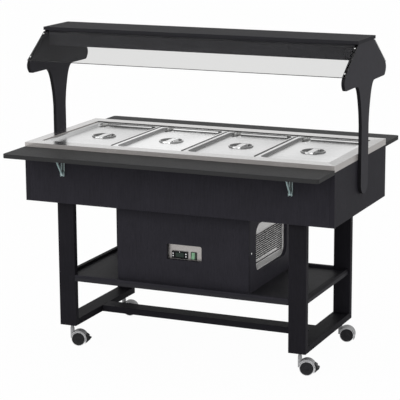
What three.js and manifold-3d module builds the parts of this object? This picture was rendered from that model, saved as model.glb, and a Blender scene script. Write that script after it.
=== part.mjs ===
// Refrigerated buffet trolley for four full-size food pans, in millimetres.
// X runs along the length, Y from front to back, Z up. The floor is at zero.
import * as THREE from 'three';
import Module from 'manifold-3d';
import { mergeVertices } from 'three/addons/utils/BufferGeometryUtils.js';

const wasm = await Module();
wasm.setup();

// Shares, angles and counts
const halfShare = 1 / 2;
const domeShare = 0.45;
const quarterTurn = Math.PI / 2;
const halfTurn = Math.PI;
const fullTurn = halfTurn + halfTurn;
const degree = halfTurn / 180;
const curveSteps = 5;
const cornerSteps = 4;
const ventSteps = 8;
const wheelSteps = 32;
const roundSteps = 20;
const smallRoundSteps = 14;

// Main sizes: the body is built round its row of pans
const rimEndWidth = 46.7;
const rimSideWidth = 64;
const trimHeight = 27;
const apronHeight = 228;
const boardThickness = 20;
const floorThickness = 18;

// Working allowances: the gap between seated pieces, the overrun of cuts, the weld of points
const seatGap = 0.3;
const overrun = 1;
const weldDistance = 0.0001;

// Worktop and cold well, one welded stainless tub
const sheet = 2;
const panCount = 4;
const openingEndMargin = 2.3;
const openingSideMargin = 3;
const ledgeDrop = 7.1;
const ledgeWidth = 14;
const tubDepth = 169;

// Food pans
const panLength = 530;
const panWidth = 325;
const panSpacing = 3;
const panSheet = 1.5;
const panFlangeWidth = 12.5;
const panEndTaper = 2.5;
const panDepth = 100;
const panFlangeRadius = 16;
const panBodyRadius = 30;

// Pan lids
const lidInset = 1;
const lidRimWidth = 15.5;
const lidRecess = 9;
const lidCupRadius = 52;
const lidCupDepth = 18;
const lidBridgeWidth = 26;
const lidBridgeThickness = 3;
const lidNotchWidth = 30;
const lidNotchLength = 52;
const lidNotchFromSide = 44;

// Legs, foot rails and stretcher, all of one plank section
const plankWidth = 77;
const plankThickness = 28;
const legInset = 132;
const legSetback = 38;
const casterHeight = 98;

// Lower shelf
const shelfHeight = 302;
const shelfPanelThickness = 15;
const shelfClearHeight = 337;
const shelfRimHeight = 27.4;
const shelfRimThickness = 18;
const shelfEndInset = 11;

// Fold-down tray slides
const flapDepth = 192;
const flapThickness = 18;
const flapDrop = 18;
const flapCornerRadius = 14;
const flapRootGap = 0.9;
const hingeOut = 14;
const hingeDrop = 3;
const barrelRadius = 4;
const barrelLength = 10;

// Folding brackets under the tray slides
const bracketFromEnd = 185;
const leafWidth = 22;
const leafThickness = 2;
const leafHeight = 100;
const earThickness = 4;
const earRadius = 2.6;
const earDepth = 9;
const strutPivotOut = 10;
const strutPivotDrop = 92;
const strutTipOut = 70;
const strutWidth = 9;
const strutThickness = 6;
const rivetRadius = 2.2;
const rivetClearance = 0.3;
const cheekThickness = 2.5;
const cheekGap = 0.4;
const cheekHeight = 18;
const cheekDepth = 15;

// Canopy top, fascias and screens
const canopyRise = 473;
const canopyBoard = 14;
const canopyOverhang = 2.7;
const canopyTopDepth = 224;
const fasciaSetback = 3.5;
const fasciaHeight = 68;
const screenThickness = 4;
const screenStart = 14;
const screenTail = 9.5;

// Canopy supports: a stem that widens into a head with a lobe at each end
const supportThickness = 14;
const supportLap = 176;
const stemHalfWidth = 46;
const headDepth = 171;
const flareStartDrop = 182;
const flareSoftDrop = 160;
const flareLowDrop = 112;
const flareLowGrowth = 8;
const flareMidDrop = 62;
const flareMidGrowth = 21;
const flareHighDrop = 16;
const flareHighGrowth = 42;
const flareSoftGrowth = 54;
const headRootGrowth = 74;
const headTopSetback = 11.5;
const headSetback = 62;
const lobeFlatSetback = 34;
const lobeBottomSetback = 14;
const lobeBottomRise = 5;
const lobeSoftRise = 19;
const lobeTipRise = 33;
const lobeShoulderRise = 47;
const lobeTopRise = 60;

// Compressor housing
const housingLength = 610;
const housingSetback = 75;
const housingBoard = 18;
const windowWidth = 161;
const windowHeight = 67;
const windowOffset = 9.5;
const windowRise = 151.5;
const plateLap = 12;
const plateThickness = 1.5;
const glandRadius = 13;
const glandLength = 16;
const glandBore = 5;
const glandDepth = 10;
const glandFromEnd = 105;
const glandRise = 43;

// Vent cut-out and its louvred plate
const ventMargin = 77;
const ventFoot = 73;
const ventHead = 56;
const ventRadius = 45;
const ventOffset = 5;
const grilleLap = 16;
const louvreCount = 12;
const louvrePitch = 9.5;
const louvreInset = 25;
const louvreSlot = 4;
const louvreDepth = 4;
const louvreLift = 26;

// Thermostat
const controlsDrop = 14;
const thermostatOffset = -26.5;
const thermostatWidth = 74;
const thermostatHeight = 32;
const bezelDepth = 5;
const bezelLap = 2;
const thermostatDepth = 45;
const cutoutClearance = 0.5;
const keyWidth = 8;
const keyHeight = 23;
const keyDepth = 3;
const keyProud = 0.6;
const keyClearance = 0.5;
const keyTravel = 0.9;
const keyOffset = 30;

// Rocker switch
const switchOffset = 38;
const rockerWidth = 23;
const rockerHeight = 29;
const rockerProud = 2.2;
const rockerDepth = 9;
const rockerClearance = 0.6;
const rockerTilt = 8 * degree;
const frameWidth = 2.4;
const frameProud = 1.8;
const frameDepth = 12;

// Condensing unit
const unitSideGap = 49;
const unitCompressorGap = 52;
const unitFanGap = 22;
const unitBaseThickness = 8;
const compressorRadius = 82;
const compressorHeight = 200;
const compressorFromEnd = 105;
const coilThickness = 46;
const coilWidth = 300;
const coilHeight = 230;
const coilFromEnd = 40;
const shroudRadius = 108;
const shroudThickness = 4;
const shroudDepth = 34;
const motorRadius = 34;
const motorLength = 52;
const fanBladeCount = 4;
const fanBladeWidth = 58;
const fanBladeThickness = 5;
const fanReach = 94;
const fanPitch = 24 * degree;
const pipeRadius = 6;
const pipeRise = 40;

// Casters, all swung the same way
const casterSetback = 11;
const casterYaw = 15 * degree;
const casterTrail = 30;
const wheelRadius = 31;
const wheelHalfWidth = 22;
const wheelInnerHalf = 6;
const wheelRound = 3;
const axleRadius = 4;
const hoodGap = 2.3;
const hoodThickness = 3.5;
const hoodStart = -34 * degree;
const hoodEnd = 150 * degree;
const webHalf = 5;
const webRadius = 20;
const neckRadius = 9;
const neckTopRise = 12;
const stemRadius = 6.5;
const pedalHalfWidth = 17;
const pedalTop = 30 * degree;
const pedalBottom = -26 * degree;
const pedalCrown = 14 * degree;
const pedalTipReach = 16;
const pedalCrownReach = 9;
const pedalLip = 3;

// Colours
const charcoal = 0x2a2a2e;
const legCharcoal = 0x232327;
const flapCharcoal = 0x474747;
const canopyCharcoal = 0x3c3c40;
const stainless = 0xd8d9da;
const brushed = 0xa9a5a2;
const zinc = 0x97abab;
const clear = 0xdfe3e6;
const darkPlastic = 0x1b1c1e;
const greyPlastic = 0xa8a9ab;
const switchGreen = 0x5f9a63;
const black = 0x111112;

// Places that follow from the sizes above
const panPitch = panWidth + panSpacing;
const openingHalfX = panCount * panPitch * halfShare + openingEndMargin;
const openingHalfY = panLength * halfShare + openingSideMargin;
const halfLength = openingHalfX + rimEndWidth;
const halfDepth = openingHalfY + rimSideWidth;
const shelfTop = shelfHeight + shelfPanelThickness;
const bodyBottom = shelfTop + shelfClearHeight;
const apronTop = bodyBottom + apronHeight;
const worktopHeight = apronTop + trimHeight;
const ledgeTop = worktopHeight - ledgeDrop;
const panTop = ledgeTop + seatGap + panSheet;
const lidTop = panTop + seatGap + panSheet;
const legOuter = halfLength - legInset;
const legInner = legOuter - plankWidth;
const legCentre = legOuter - plankWidth * halfShare;
const legFace = halfDepth - legSetback;
const legBack = legFace - plankThickness;
const railTop = casterHeight + plankThickness;
const flapTop = worktopHeight - flapDrop;
const flapBottom = flapTop - flapThickness;
const hingeHeight = flapBottom - hingeDrop;
const bracketX = halfLength - bracketFromEnd;
const strutPivotHeight = flapBottom - strutPivotDrop;
const strutTipHeight = flapBottom - seatGap - strutWidth * halfShare;
const canopyTop = worktopHeight + canopyRise;
const canopyUnder = canopyTop - canopyBoard;
const headTop = canopyUnder - seatGap;
const headTopHalfWidth = canopyTopDepth * halfShare - headTopSetback;
const headHalfWidth = halfDepth - headSetback;
const headUnderside = headTop - headDepth;
const lobeTopHeight = headUnderside + lobeTopRise;
const lobeTopHalfWidth = headHalfWidth - lobeBottomSetback;
const supportInner = halfLength + seatGap;
const supportOuter = supportInner + supportThickness;
const housingHalfX = housingLength * halfShare;
const housingHalfY = halfDepth - housingSetback;
const housingBottom = shelfTop + seatGap;
const housingTop = bodyBottom - seatGap;
const ventHalfWidth = housingHalfY - ventMargin;
const ventWidth = ventHalfWidth + ventHalfWidth;
const ventHeight = shelfClearHeight - ventFoot - ventHead;
const ventZ = shelfTop + ventFoot + ventHeight * halfShare;
const windowZ = shelfTop + windowRise;
const controlsZ = windowZ - controlsDrop;
const plateFront = housingBoard + seatGap - housingHalfY;
const plateBack = plateFront + plateThickness;
const casterX = legCentre;
const casterY = legBack - casterSetback;
const hoodInner = wheelRadius + hoodGap;
const hoodOuter = hoodInner + hoodThickness;

// Finishes
function finish(color, roughness, metalness) {
  return new THREE.MeshStandardMaterial({ color, roughness, metalness });
}

const board = finish(charcoal, 0.55, 0);
const legBoard = finish(legCharcoal, 0.55, 0);
const flapBoard = finish(flapCharcoal, 0.5, 0);
const canopyWood = finish(canopyCharcoal, 0.55, 0);
const polished = finish(stainless, 0.22, 1);
const plateSteel = finish(brushed, 0.35, 1);
const zincSteel = finish(zinc, 0.35, 1);
const acrylic = finish(clear, 0.05, 0);
const blackPlastic = finish(darkPlastic, 0.45, 0);
const hoodPlastic = finish(greyPlastic, 0.5, 0);
const greenPlastic = finish(switchGreen, 0.3, 0);
const blackPaint = finish(black, 0.45, 0.3);

// Solid helpers
function toManifold(geometry) {
  const bare = geometry.clone();
  bare.deleteAttribute('normal');
  bare.deleteAttribute('uv');
  const merged = mergeVertices(bare, weldDistance);
  const vertProperties = new Float32Array(merged.attributes.position.array);
  const triVerts = new Uint32Array(merged.index.array);
  return new wasm.Manifold(new wasm.Mesh({ numProp: 3, vertProperties, triVerts }));
}

function toGeometry(manifold) {
  const mesh = manifold.getMesh();
  const geometry = new THREE.BufferGeometry();
  geometry.setAttribute('position', new THREE.BufferAttribute(mesh.vertProperties, 3));
  geometry.setIndex(new THREE.BufferAttribute(mesh.triVerts, 1));
  geometry.computeVertexNormals();
  return geometry;
}

function solid(added, removed = []) {
  let result = toManifold(added[0]);
  for (const piece of added.slice(1)) {
    result = result.add(toManifold(piece));
  }
  for (const piece of removed) {
    result = result.subtract(toManifold(piece));
  }
  return toGeometry(result);
}

// Block between two values on each axis, given in either order
function block([x0, x1], [y0, y1], [z0, z1]) {
  const geometry = new THREE.BoxGeometry(Math.abs(x1 - x0), Math.abs(y1 - y0), Math.abs(z1 - z0));
  geometry.translate((x0 + x1) * halfShare, (y0 + y1) * halfShare, (z0 + z1) * halfShare);
  return geometry;
}

function around(centre, size) {
  return [centre - size * halfShare, centre + size * halfShare];
}

function both(half) {
  return [-half, half];
}

// Outline drawn in X and Y, raised from z0 to z1
function raised(shape, z0, z1, steps = cornerSteps) {
  const geometry = new THREE.ExtrudeGeometry(
    shape, { depth: z1 - z0, bevelEnabled: false, curveSegments: steps },
  );
  geometry.translate(0, 0, z0);
  return geometry;
}

// Outline drawn in Y and Z, thickened along X from x0 to x1
function alongX(shape, x0, x1, steps = curveSteps) {
  const geometry = raised(shape, 0, x1 - x0, steps);
  const yAxis = new THREE.Vector3(0, 1, 0);
  const zAxis = new THREE.Vector3(0, 0, 1);
  const xAxis = new THREE.Vector3(1, 0, 0);
  geometry.applyMatrix4(new THREE.Matrix4().makeBasis(yAxis, zAxis, xAxis));
  geometry.translate(x0, 0, 0);
  return geometry;
}

// Outline drawn in X and Z, thickened along Y on both sides of zero
function alongY(shape, half, steps = curveSteps) {
  const geometry = raised(shape, -half, half, steps);
  geometry.rotateX(quarterTurn);
  return geometry;
}

function roundedRectangle(width, depth, radius) {
  const x = width * halfShare;
  const y = depth * halfShare;
  const shape = new THREE.Shape();
  shape.moveTo(radius - x, -y);
  shape.lineTo(x - radius, -y);
  shape.absarc(x - radius, radius - y, radius, -quarterTurn, 0, false);
  shape.lineTo(x, y - radius);
  shape.absarc(x - radius, y - radius, radius, 0, quarterTurn, false);
  shape.lineTo(radius - x, y);
  shape.absarc(radius - x, y - radius, radius, quarterTurn, halfTurn, false);
  shape.lineTo(-x, radius - y);
  shape.absarc(radius - x, radius - y, radius, halfTurn, halfTurn + quarterTurn, false);
  return shape;
}

function polygon(points) {
  const shape = new THREE.Shape();
  shape.moveTo(...points[0]);
  for (const point of points.slice(1)) {
    shape.lineTo(...point);
  }
  return shape;
}

function postZ(radius, x, y, [z0, z1], steps = roundSteps) {
  const geometry = new THREE.CylinderGeometry(radius, radius, z1 - z0, steps);
  geometry.rotateX(quarterTurn);
  geometry.translate(x, y, (z0 + z1) * halfShare);
  return geometry;
}

function rodX(radius, [x0, x1], y, z, steps = smallRoundSteps) {
  const geometry = new THREE.CylinderGeometry(radius, radius, Math.abs(x1 - x0), steps);
  geometry.rotateZ(quarterTurn);
  geometry.translate((x0 + x1) * halfShare, y, z);
  return geometry;
}

function rodY(radius, x, [y0, y1], z, steps = roundSteps) {
  const geometry = new THREE.CylinderGeometry(radius, radius, y1 - y0, steps);
  geometry.translate(x, (y0 + y1) * halfShare, z);
  return geometry;
}

const trolley = new THREE.Group();

function place(name, geometry, material, x = 0, y = 0, z = 0, turn = 0) {
  const mesh = new THREE.Mesh(geometry, material);
  mesh.name = name;
  mesh.position.set(x, y, z);
  mesh.rotation.z = turn;
  trolley.add(mesh);
}

// Body: long aprons between full-depth end panels, and the floor board inside them
function buildBody() {
  const innerX = halfLength - boardThickness;
  const innerY = halfDepth - boardThickness;
  const fitX = innerX - seatGap;
  const fitY = innerY - seatGap;
  const height = [bodyBottom, apronTop];
  const apron = block(both(fitX), [0, boardThickness], height);
  const end = block([0, boardThickness], both(halfDepth), height);
  const floor = block(both(fitX), both(fitY), [bodyBottom, bodyBottom + floorThickness]);
  place('front_apron', apron, board, 0, -halfDepth);
  place('rear_apron', apron.clone(), board, 0, innerY);
  place('left_end_panel', end, board, -halfLength);
  place('right_end_panel', end.clone(), board, innerX);
  place('body_floor', floor, board);
}

// Worktop: flat surround with a turned-down edge, a sunk ledge and the cold tub
function buildWorktop() {
  const skirtBottom = apronTop + seatGap;
  const plateBottom = worktopHeight - sheet;
  const plateMiddle = worktopHeight - sheet * halfShare;
  const tubFloorTop = worktopHeight - tubDepth;
  const innerX = openingHalfX - ledgeWidth;
  const innerY = openingHalfY - ledgeWidth;
  const above = worktopHeight + overrun;
  const top = block(both(halfLength), both(halfDepth), [skirtBottom, worktopHeight]);
  const under = block(
    both(halfLength - sheet), both(halfDepth - sheet), [skirtBottom - overrun, plateBottom],
  );
  const rim = block(
    both(openingHalfX + sheet), both(openingHalfY + sheet), [ledgeTop - sheet, plateMiddle],
  );
  const tub = block(both(innerX + sheet), both(innerY + sheet), [tubFloorTop - sheet, ledgeTop]);
  const recess = block(both(openingHalfX), both(openingHalfY), [ledgeTop, above]);
  const hollow = block(both(innerX), both(innerY), [tubFloorTop, above]);
  const shell = solid([top], [under]);
  place('worktop_well', solid([shell, rim, tub], [recess, hollow]), polished);
}

// One food pan, with the top of its flange at local height zero
function panGeometry() {
  const width = panWidth - panFlangeWidth - panFlangeWidth;
  const length = panLength - panFlangeWidth - panFlangeWidth - panEndTaper - panEndTaper;
  const flange = raised(roundedRectangle(panWidth, panLength, panFlangeRadius), -panSheet, 0);
  const outer = raised(roundedRectangle(width, length, panBodyRadius), -panDepth, 0);
  const hollow = roundedRectangle(
    width - panSheet - panSheet, length - panSheet - panSheet, panBodyRadius - panSheet,
  );
  return solid([flange, outer], [raised(hollow, panSheet - panDepth, overrun)]);
}

// One lid: flat rim, sunk panel, round hand recess with a bridge, and a spoon notch
function lidGeometry() {
  const width = panWidth - lidInset - lidInset;
  const length = panLength - lidInset - lidInset;
  const sunkWidth = width - lidRimWidth - lidRimWidth;
  const sunkLength = length - lidRimWidth - lidRimWidth - panEndTaper - panEndTaper;
  const panelBottom = -lidRecess - panSheet;
  const cupBottom = panelBottom - lidCupDepth;
  const rim = raised(roundedRectangle(width, length, panFlangeRadius), -panSheet, 0);
  const sunk = raised(roundedRectangle(sunkWidth, sunkLength, panBodyRadius), panelBottom, 0);
  const cup = postZ(lidCupRadius, 0, 0, [cupBottom, -lidRecess]);
  const sunkHollow = raised(
    roundedRectangle(
      sunkWidth - panSheet - panSheet, sunkLength - panSheet - panSheet, panBodyRadius - panSheet,
    ),
    -lidRecess, overrun,
  );
  const cupInner = lidCupRadius - panSheet;
  const cupHollow = postZ(cupInner, 0, 0, [cupBottom + panSheet, overrun]);
  const bridge = block(
    around(0, lidBridgeWidth), both(cupInner), [-lidRecess - lidBridgeThickness, -lidRecess],
  );
  const notchX = lidNotchFromSide - width * halfShare;
  const backY = length * halfShare;
  const cut = [panelBottom - overrun, overrun];
  const notch = block(around(notchX, lidNotchWidth), [backY - lidNotchLength, backY + overrun], cut);
  const notchEnd = postZ(lidNotchWidth * halfShare, notchX, backY - lidNotchLength, cut);
  const tray = solid([rim, sunk, cup], [sunkHollow, cupHollow]);
  return solid([tray, bridge], [notch, notchEnd]);
}

function buildPans() {
  const pan = panGeometry();
  const lid = lidGeometry();
  const first = -panPitch * (panCount - 1) * halfShare;
  for (let index = 0; index < panCount; index += 1) {
    const x = first + panPitch * index;
    place(`gn_pan_${index + 1}`, pan.clone(), polished, x, 0, panTop);
    place(`pan_lid_${index + 1}`, lid.clone(), polished, x, 0, lidTop);
  }
}

// Legs, foot rails and the stretcher
function buildUnderframe() {
  const low = [casterHeight, railTop];
  const leg = block(around(0, plankWidth), [0, plankThickness], [casterHeight, housingTop]);
  const rail = block(around(0, plankWidth), both(legBack - seatGap), low);
  for (const [side, x] of [['left', -legCentre], ['right', legCentre]]) {
    place(`leg_front_${side}`, leg.clone(), legBoard, x, -legFace);
    place(`leg_rear_${side}`, leg.clone(), legBoard, x, legBack);
    place(`foot_rail_${side}`, rail.clone(), legBoard, x);
  }
  place('stretcher', block(both(legInner - seatGap), around(0, plankWidth), low), legBoard);
}

// Lower shelf: a sunk panel inside a low rim, notched round the legs
function buildShelf() {
  const outerX = legOuter - shelfEndInset;
  const innerX = outerX - shelfRimThickness;
  const betweenX = legInner - seatGap;
  const betweenY = legBack - seatGap;
  const innerY = legFace - shelfRimThickness;
  const panel = [shelfHeight, shelfTop];
  const rim = [shelfHeight, shelfHeight + shelfRimHeight];
  place('lower_shelf', solid([
    block(both(betweenX), both(legFace), panel),
    block(both(outerX), both(betweenY), panel),
    block(both(betweenX), [-legFace, -innerY], rim),
    block(both(betweenX), [innerY, legFace], rim),
    block([-outerX, -innerX], both(betweenY), rim),
    block([innerX, outerX], both(betweenY), rim),
  ]), legBoard);
}

// Compressor housing: four panels standing on the shelf
function buildHousing() {
  const height = [housingBottom, housingTop];
  const backY = housingHalfY - housingBoard;
  const front = block(both(housingHalfX), [-housingHalfY, -backY], height);
  const opening = block(
    around(windowOffset, windowWidth), [-housingHalfY - overrun, overrun - backY],
    around(windowZ, windowHeight),
  );
  place('housing_front', solid([front], [opening]), board);

  const rear = block(both(housingHalfX), [backY, housingHalfY], height);
  const glandX = glandFromEnd - housingHalfX;
  const glandZ = shelfTop + glandRise;
  const glandEnd = housingHalfY + glandLength;
  const gland = rodY(glandRadius, glandX, [backY + seatGap, glandEnd], glandZ);
  const glandHole = rodY(glandBore, glandX, [glandEnd - glandDepth, glandEnd + overrun], glandZ);
  place('housing_rear', solid([rear, gland], [glandHole]), board);

  const side = block([0, housingBoard], both(backY - seatGap), height);
  const vent = alongX(
    roundedRectangle(ventWidth, ventHeight, ventRadius), -overrun, housingBoard + overrun, ventSteps,
  );
  vent.translate(0, ventOffset, ventZ);
  place('housing_left', side, board, -housingHalfX);
  place('housing_right', solid([side.clone()], [vent]), board, housingHalfX - housingBoard);
}

// Louvred plate behind the vent cut-out
function buildGrille() {
  const outer = housingHalfX - housingBoard - seatGap;
  const inner = outer - plateThickness;
  const length = around(ventOffset, ventWidth - louvreInset - louvreInset);
  const plate = block(
    [inner, outer],
    around(ventOffset, ventWidth + grilleLap + grilleLap),
    around(ventZ, ventHeight + grilleLap + grilleLap),
  );
  const slots = [];
  const blades = [];
  const first = ventZ + louvreLift - louvrePitch * (louvreCount - 1) * halfShare;
  for (let index = 0; index < louvreCount; index += 1) {
    const z = first + louvrePitch * index;
    const bladeX = [inner - louvreDepth, inner + plateThickness * halfShare];
    slots.push(block([inner - overrun, outer + overrun], length, [z, z + louvreSlot]));
    blades.push(block(bladeX, length, [z - plateThickness, z]));
  }
  place('vent_grille', solid([solid([plate], slots), ...blades]), plateSteel);
}

// Compressor shell with a domed top, standing on the base plate
function compressorGeometry(x, z) {
  const dome = compressorRadius * domeShare;
  const shoulder = z + compressorHeight - dome;
  const start = z - unitBaseThickness * halfShare;
  const profile = [
    new THREE.Vector2(0, start),
    new THREE.Vector2(compressorRadius, start),
    new THREE.Vector2(compressorRadius, shoulder),
  ];
  for (let step = 1; step < curveSteps; step += 1) {
    const angle = quarterTurn * step / curveSteps;
    const radius = compressorRadius * Math.cos(angle);
    profile.push(new THREE.Vector2(radius, shoulder + dome * Math.sin(angle)));
  }
  profile.push(new THREE.Vector2(0, shoulder + dome));
  const shell = new THREE.LatheGeometry(profile, roundSteps);
  shell.rotateX(quarterTurn);
  shell.translate(x, 0, 0);
  return shell;
}

// Pipe from the compressor round to the coil
function pipeGeometry(compressorX, coilX, z) {
  const side = compressorRadius + pipeRise;
  const outlet = z + compressorHeight * halfShare;
  const low = z + pipeRise;
  const path = new THREE.CatmullRomCurve3([
    new THREE.Vector3(compressorX, compressorRadius * halfShare, outlet),
    new THREE.Vector3(compressorX, side, outlet),
    new THREE.Vector3((compressorX + coilX) * halfShare, side, low),
    new THREE.Vector3(coilX + coilThickness * halfShare, side, low),
  ]);
  const ring = new THREE.Shape();
  ring.absarc(0, 0, pipeRadius, 0, fullTurn, false);
  return new THREE.ExtrudeGeometry(
    ring, { steps: roundSteps, curveSegments: curveSteps, extrudePath: path },
  );
}

// Condensing unit: compressor, finned coil and shrouded fan on one base plate
function buildCondensingUnit() {
  const bottom = shelfTop + seatGap;
  const top = bottom + unitBaseThickness;
  const innerX = housingHalfX - housingBoard;
  const baseX = [unitCompressorGap - innerX, innerX - unitFanGap];
  const coilFront = baseX[1] - coilFromEnd;
  const coilBack = coilFront - coilThickness;
  const shroudFront = coilBack - shroudDepth;
  const compressorX = baseX[0] + compressorFromEnd;
  const fanZ = top + coilHeight * halfShare;
  const baseHalf = housingHalfY - housingBoard - unitSideGap;
  const base = block(baseX, both(baseHalf), [bottom, top]);
  const coil = block(
    [coilBack, coilFront], around(0, coilWidth), [top - unitBaseThickness * halfShare, top + coilHeight],
  );
  const ring = rodX(shroudRadius, [shroudFront, coilFront], 0, fanZ, wheelSteps);
  const ringHole = rodX(
    shroudRadius - shroudThickness, [shroudFront - overrun, coilBack], 0, fanZ, wheelSteps,
  );
  const motor = rodX(motorRadius, [shroudFront - motorLength, coilFront], 0, fanZ, roundSteps);
  const blades = [];
  for (let index = 0; index < fanBladeCount; index += 1) {
    const blade = block(around(0, fanBladeThickness), around(0, fanBladeWidth), [0, fanReach]);
    blade.rotateZ(fanPitch);
    blade.rotateX(fullTurn * index / fanBladeCount);
    blade.translate(shroudFront + shroudDepth * halfShare, 0, fanZ);
    blades.push(blade);
  }
  const shell = solid([base, compressorGeometry(compressorX, top), coil, ring], [ringHole]);
  const pipe = pipeGeometry(compressorX, coilBack, top);
  place('condensing_unit', solid([shell, motor, ...blades, pipe]), blackPaint);
}

// Steel plate behind the window, carrying the frame of the rocker switch
function buildControlPlate() {
  const thermostatX = windowOffset + thermostatOffset;
  const switchX = windowOffset + switchOffset;
  const through = [plateFront - overrun, plateBack + overrun];
  const plate = block(
    around(windowOffset, windowWidth + plateLap + plateLap), [plateFront, plateBack],
    around(windowZ, windowHeight + plateLap + plateLap),
  );
  const hole = block(
    around(thermostatX, thermostatWidth - bezelLap - bezelLap), through,
    around(controlsZ, thermostatHeight - bezelLap - bezelLap),
  );
  const rockerHoleWidth = rockerWidth + rockerClearance + rockerClearance;
  const rockerHoleHeight = rockerHeight + rockerClearance + rockerClearance;
  const frameY = [plateFront - frameProud, plateBack + frameDepth];
  const frame = block(
    around(switchX, rockerHoleWidth + frameWidth + frameWidth), frameY,
    around(controlsZ, rockerHoleHeight + frameWidth + frameWidth),
  );
  const rockerHole = block(
    around(switchX, rockerHoleWidth), [frameY[0] - overrun, frameY[1] + overrun],
    around(controlsZ, rockerHoleHeight),
  );
  place('control_plate', solid([plate, frame], [hole, rockerHole]), plateSteel);
}

// Thermostat body through the plate, with a key bar at each end of its face
function buildThermostat() {
  const x = windowOffset + thermostatOffset;
  const back = plateFront - seatGap;
  const face = back - bezelDepth;
  const holeInset = bezelLap + cutoutClearance;
  const bezel = block(around(x, thermostatWidth), [face, back], around(controlsZ, thermostatHeight));
  const unit = block(
    around(x, thermostatWidth - holeInset - holeInset),
    [back - bezelDepth * halfShare, back + thermostatDepth],
    around(controlsZ, thermostatHeight - holeInset - holeInset),
  );
  const keyFace = face - keyProud;
  const key = block(around(0, keyWidth), [0, keyDepth], around(0, keyHeight));
  const pockets = [];
  for (const [side, sign] of [['left', -1], ['right', 1]]) {
    const keyX = x + sign * keyOffset;
    pockets.push(block(
      around(keyX, keyWidth + keyClearance + keyClearance),
      [face - overrun, keyFace + keyDepth + keyTravel],
      around(controlsZ, keyHeight + keyClearance + keyClearance),
    ));
    place(`thermostat_key_${side}`, key.clone(), blackPlastic, keyX, keyFace, controlsZ);
  }
  place('thermostat', solid([bezel, unit], pockets), blackPlastic);
}

// Rocker with a shallow V face, tipped to one side about the middle of its frame
function buildRocker() {
  const half = rockerHeight * halfShare;
  const dip = half * Math.tan(rockerTilt);
  const shape = polygon([
    [-rockerProud, -half],
    [rockerDepth, -half * halfShare],
    [rockerDepth, half * halfShare],
    [-rockerProud, half],
    [dip - rockerProud, 0],
  ]);
  const rocker = alongX(shape, -rockerWidth * halfShare, rockerWidth * halfShare);
  rocker.rotateX(-rockerTilt);
  place('rocker_switch', rocker, greenPlastic, windowOffset + switchOffset, plateFront, controlsZ);
}

// Tray slide: a board with two hinge barrels under its root, drawn for the front
function flapGeometry() {
  const root = -flapRootGap;
  const edge = root - flapDepth;
  const cornerX = halfLength - flapCornerRadius;
  const cornerY = edge + flapCornerRadius;
  const shape = new THREE.Shape();
  shape.moveTo(-halfLength, root);
  shape.lineTo(-halfLength, cornerY);
  shape.absarc(-cornerX, cornerY, flapCornerRadius, halfTurn, halfTurn + quarterTurn, false);
  shape.lineTo(cornerX, edge);
  shape.absarc(cornerX, cornerY, flapCornerRadius, -quarterTurn, 0, false);
  shape.lineTo(halfLength, root);
  const plank = raised(shape, flapBottom, flapTop);
  const barrels = [-bracketX, bracketX].map(
    (x) => rodX(barrelRadius, around(x, barrelLength), -hingeOut, hingeHeight),
  );
  return solid([plank, ...barrels]);
}

// Wall leaf of a bracket: hinge ears at the top, rivet cheeks at the bottom
function wallLeafGeometry() {
  const leafTop = flapBottom - seatGap - seatGap;
  const leafBack = -seatGap;
  const leafMiddle = leafBack - leafThickness * halfShare;
  const pieces = [
    block(around(0, leafWidth), [leafBack - leafThickness, leafBack], [leafTop - leafHeight, leafTop]),
  ];
  const earInner = barrelLength * halfShare + seatGap;
  const cheekInner = strutThickness * halfShare + cheekGap;
  for (const side of [-1, 1]) {
    const ear = [side * earInner, side * (earInner + earThickness)];
    const cheek = [side * cheekInner, side * (cheekInner + cheekThickness)];
    pieces.push(block(ear, [-hingeOut, leafMiddle], [hingeHeight - earDepth, hingeHeight + earRadius]));
    pieces.push(rodX(earRadius, ear, -hingeOut, hingeHeight));
    pieces.push(block(cheek, [-cheekDepth, leafMiddle], around(strutPivotHeight, cheekHeight)));
  }
  pieces.push(rodX(rivetRadius, both(cheekInner + cheekThickness), -strutPivotOut, strutPivotHeight));
  return solid(pieces);
}

// Strut of a bracket in its raised place, with its eye round the rivet
function strutGeometry() {
  const out = strutTipOut - strutPivotOut;
  const rise = strutTipHeight - strutPivotHeight;
  const reach = Math.hypot(out, rise);
  const lean = Math.atan2(out, rise);
  const half = strutWidth * halfShare;
  const shape = new THREE.Shape();
  shape.moveTo(half, 0);
  shape.lineTo(half, reach);
  shape.absarc(0, reach, half, 0, halfTurn, false);
  shape.lineTo(-half, 0);
  shape.absarc(0, 0, half, halfTurn, fullTurn, false);
  const bar = alongX(shape, -strutThickness * halfShare, strutThickness * halfShare);
  const eye = rodX(rivetRadius + rivetClearance, both(strutThickness), 0, 0);
  const strut = solid([bar], [eye]);
  strut.rotateX(lean);
  strut.translate(0, -strutPivotOut, strutPivotHeight);
  return strut;
}

function buildFlaps() {
  const leaf = wallLeafGeometry();
  const strut = strutGeometry();
  for (const [end, turn, y] of [['front', 0, -halfDepth], ['rear', halfTurn, halfDepth]]) {
    place(`${end}_flap`, flapGeometry(), flapBoard, 0, y, 0, turn);
    for (const [side, x] of [['left', -bracketX], ['right', bracketX]]) {
      place(`${end}_bracket_leaf_${side}`, leaf.clone(), zincSteel, x, y, 0, turn);
      place(`${end}_bracket_strut_${side}`, strut.clone(), zincSteel, x, y, 0, turn);
    }
  }
}

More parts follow.
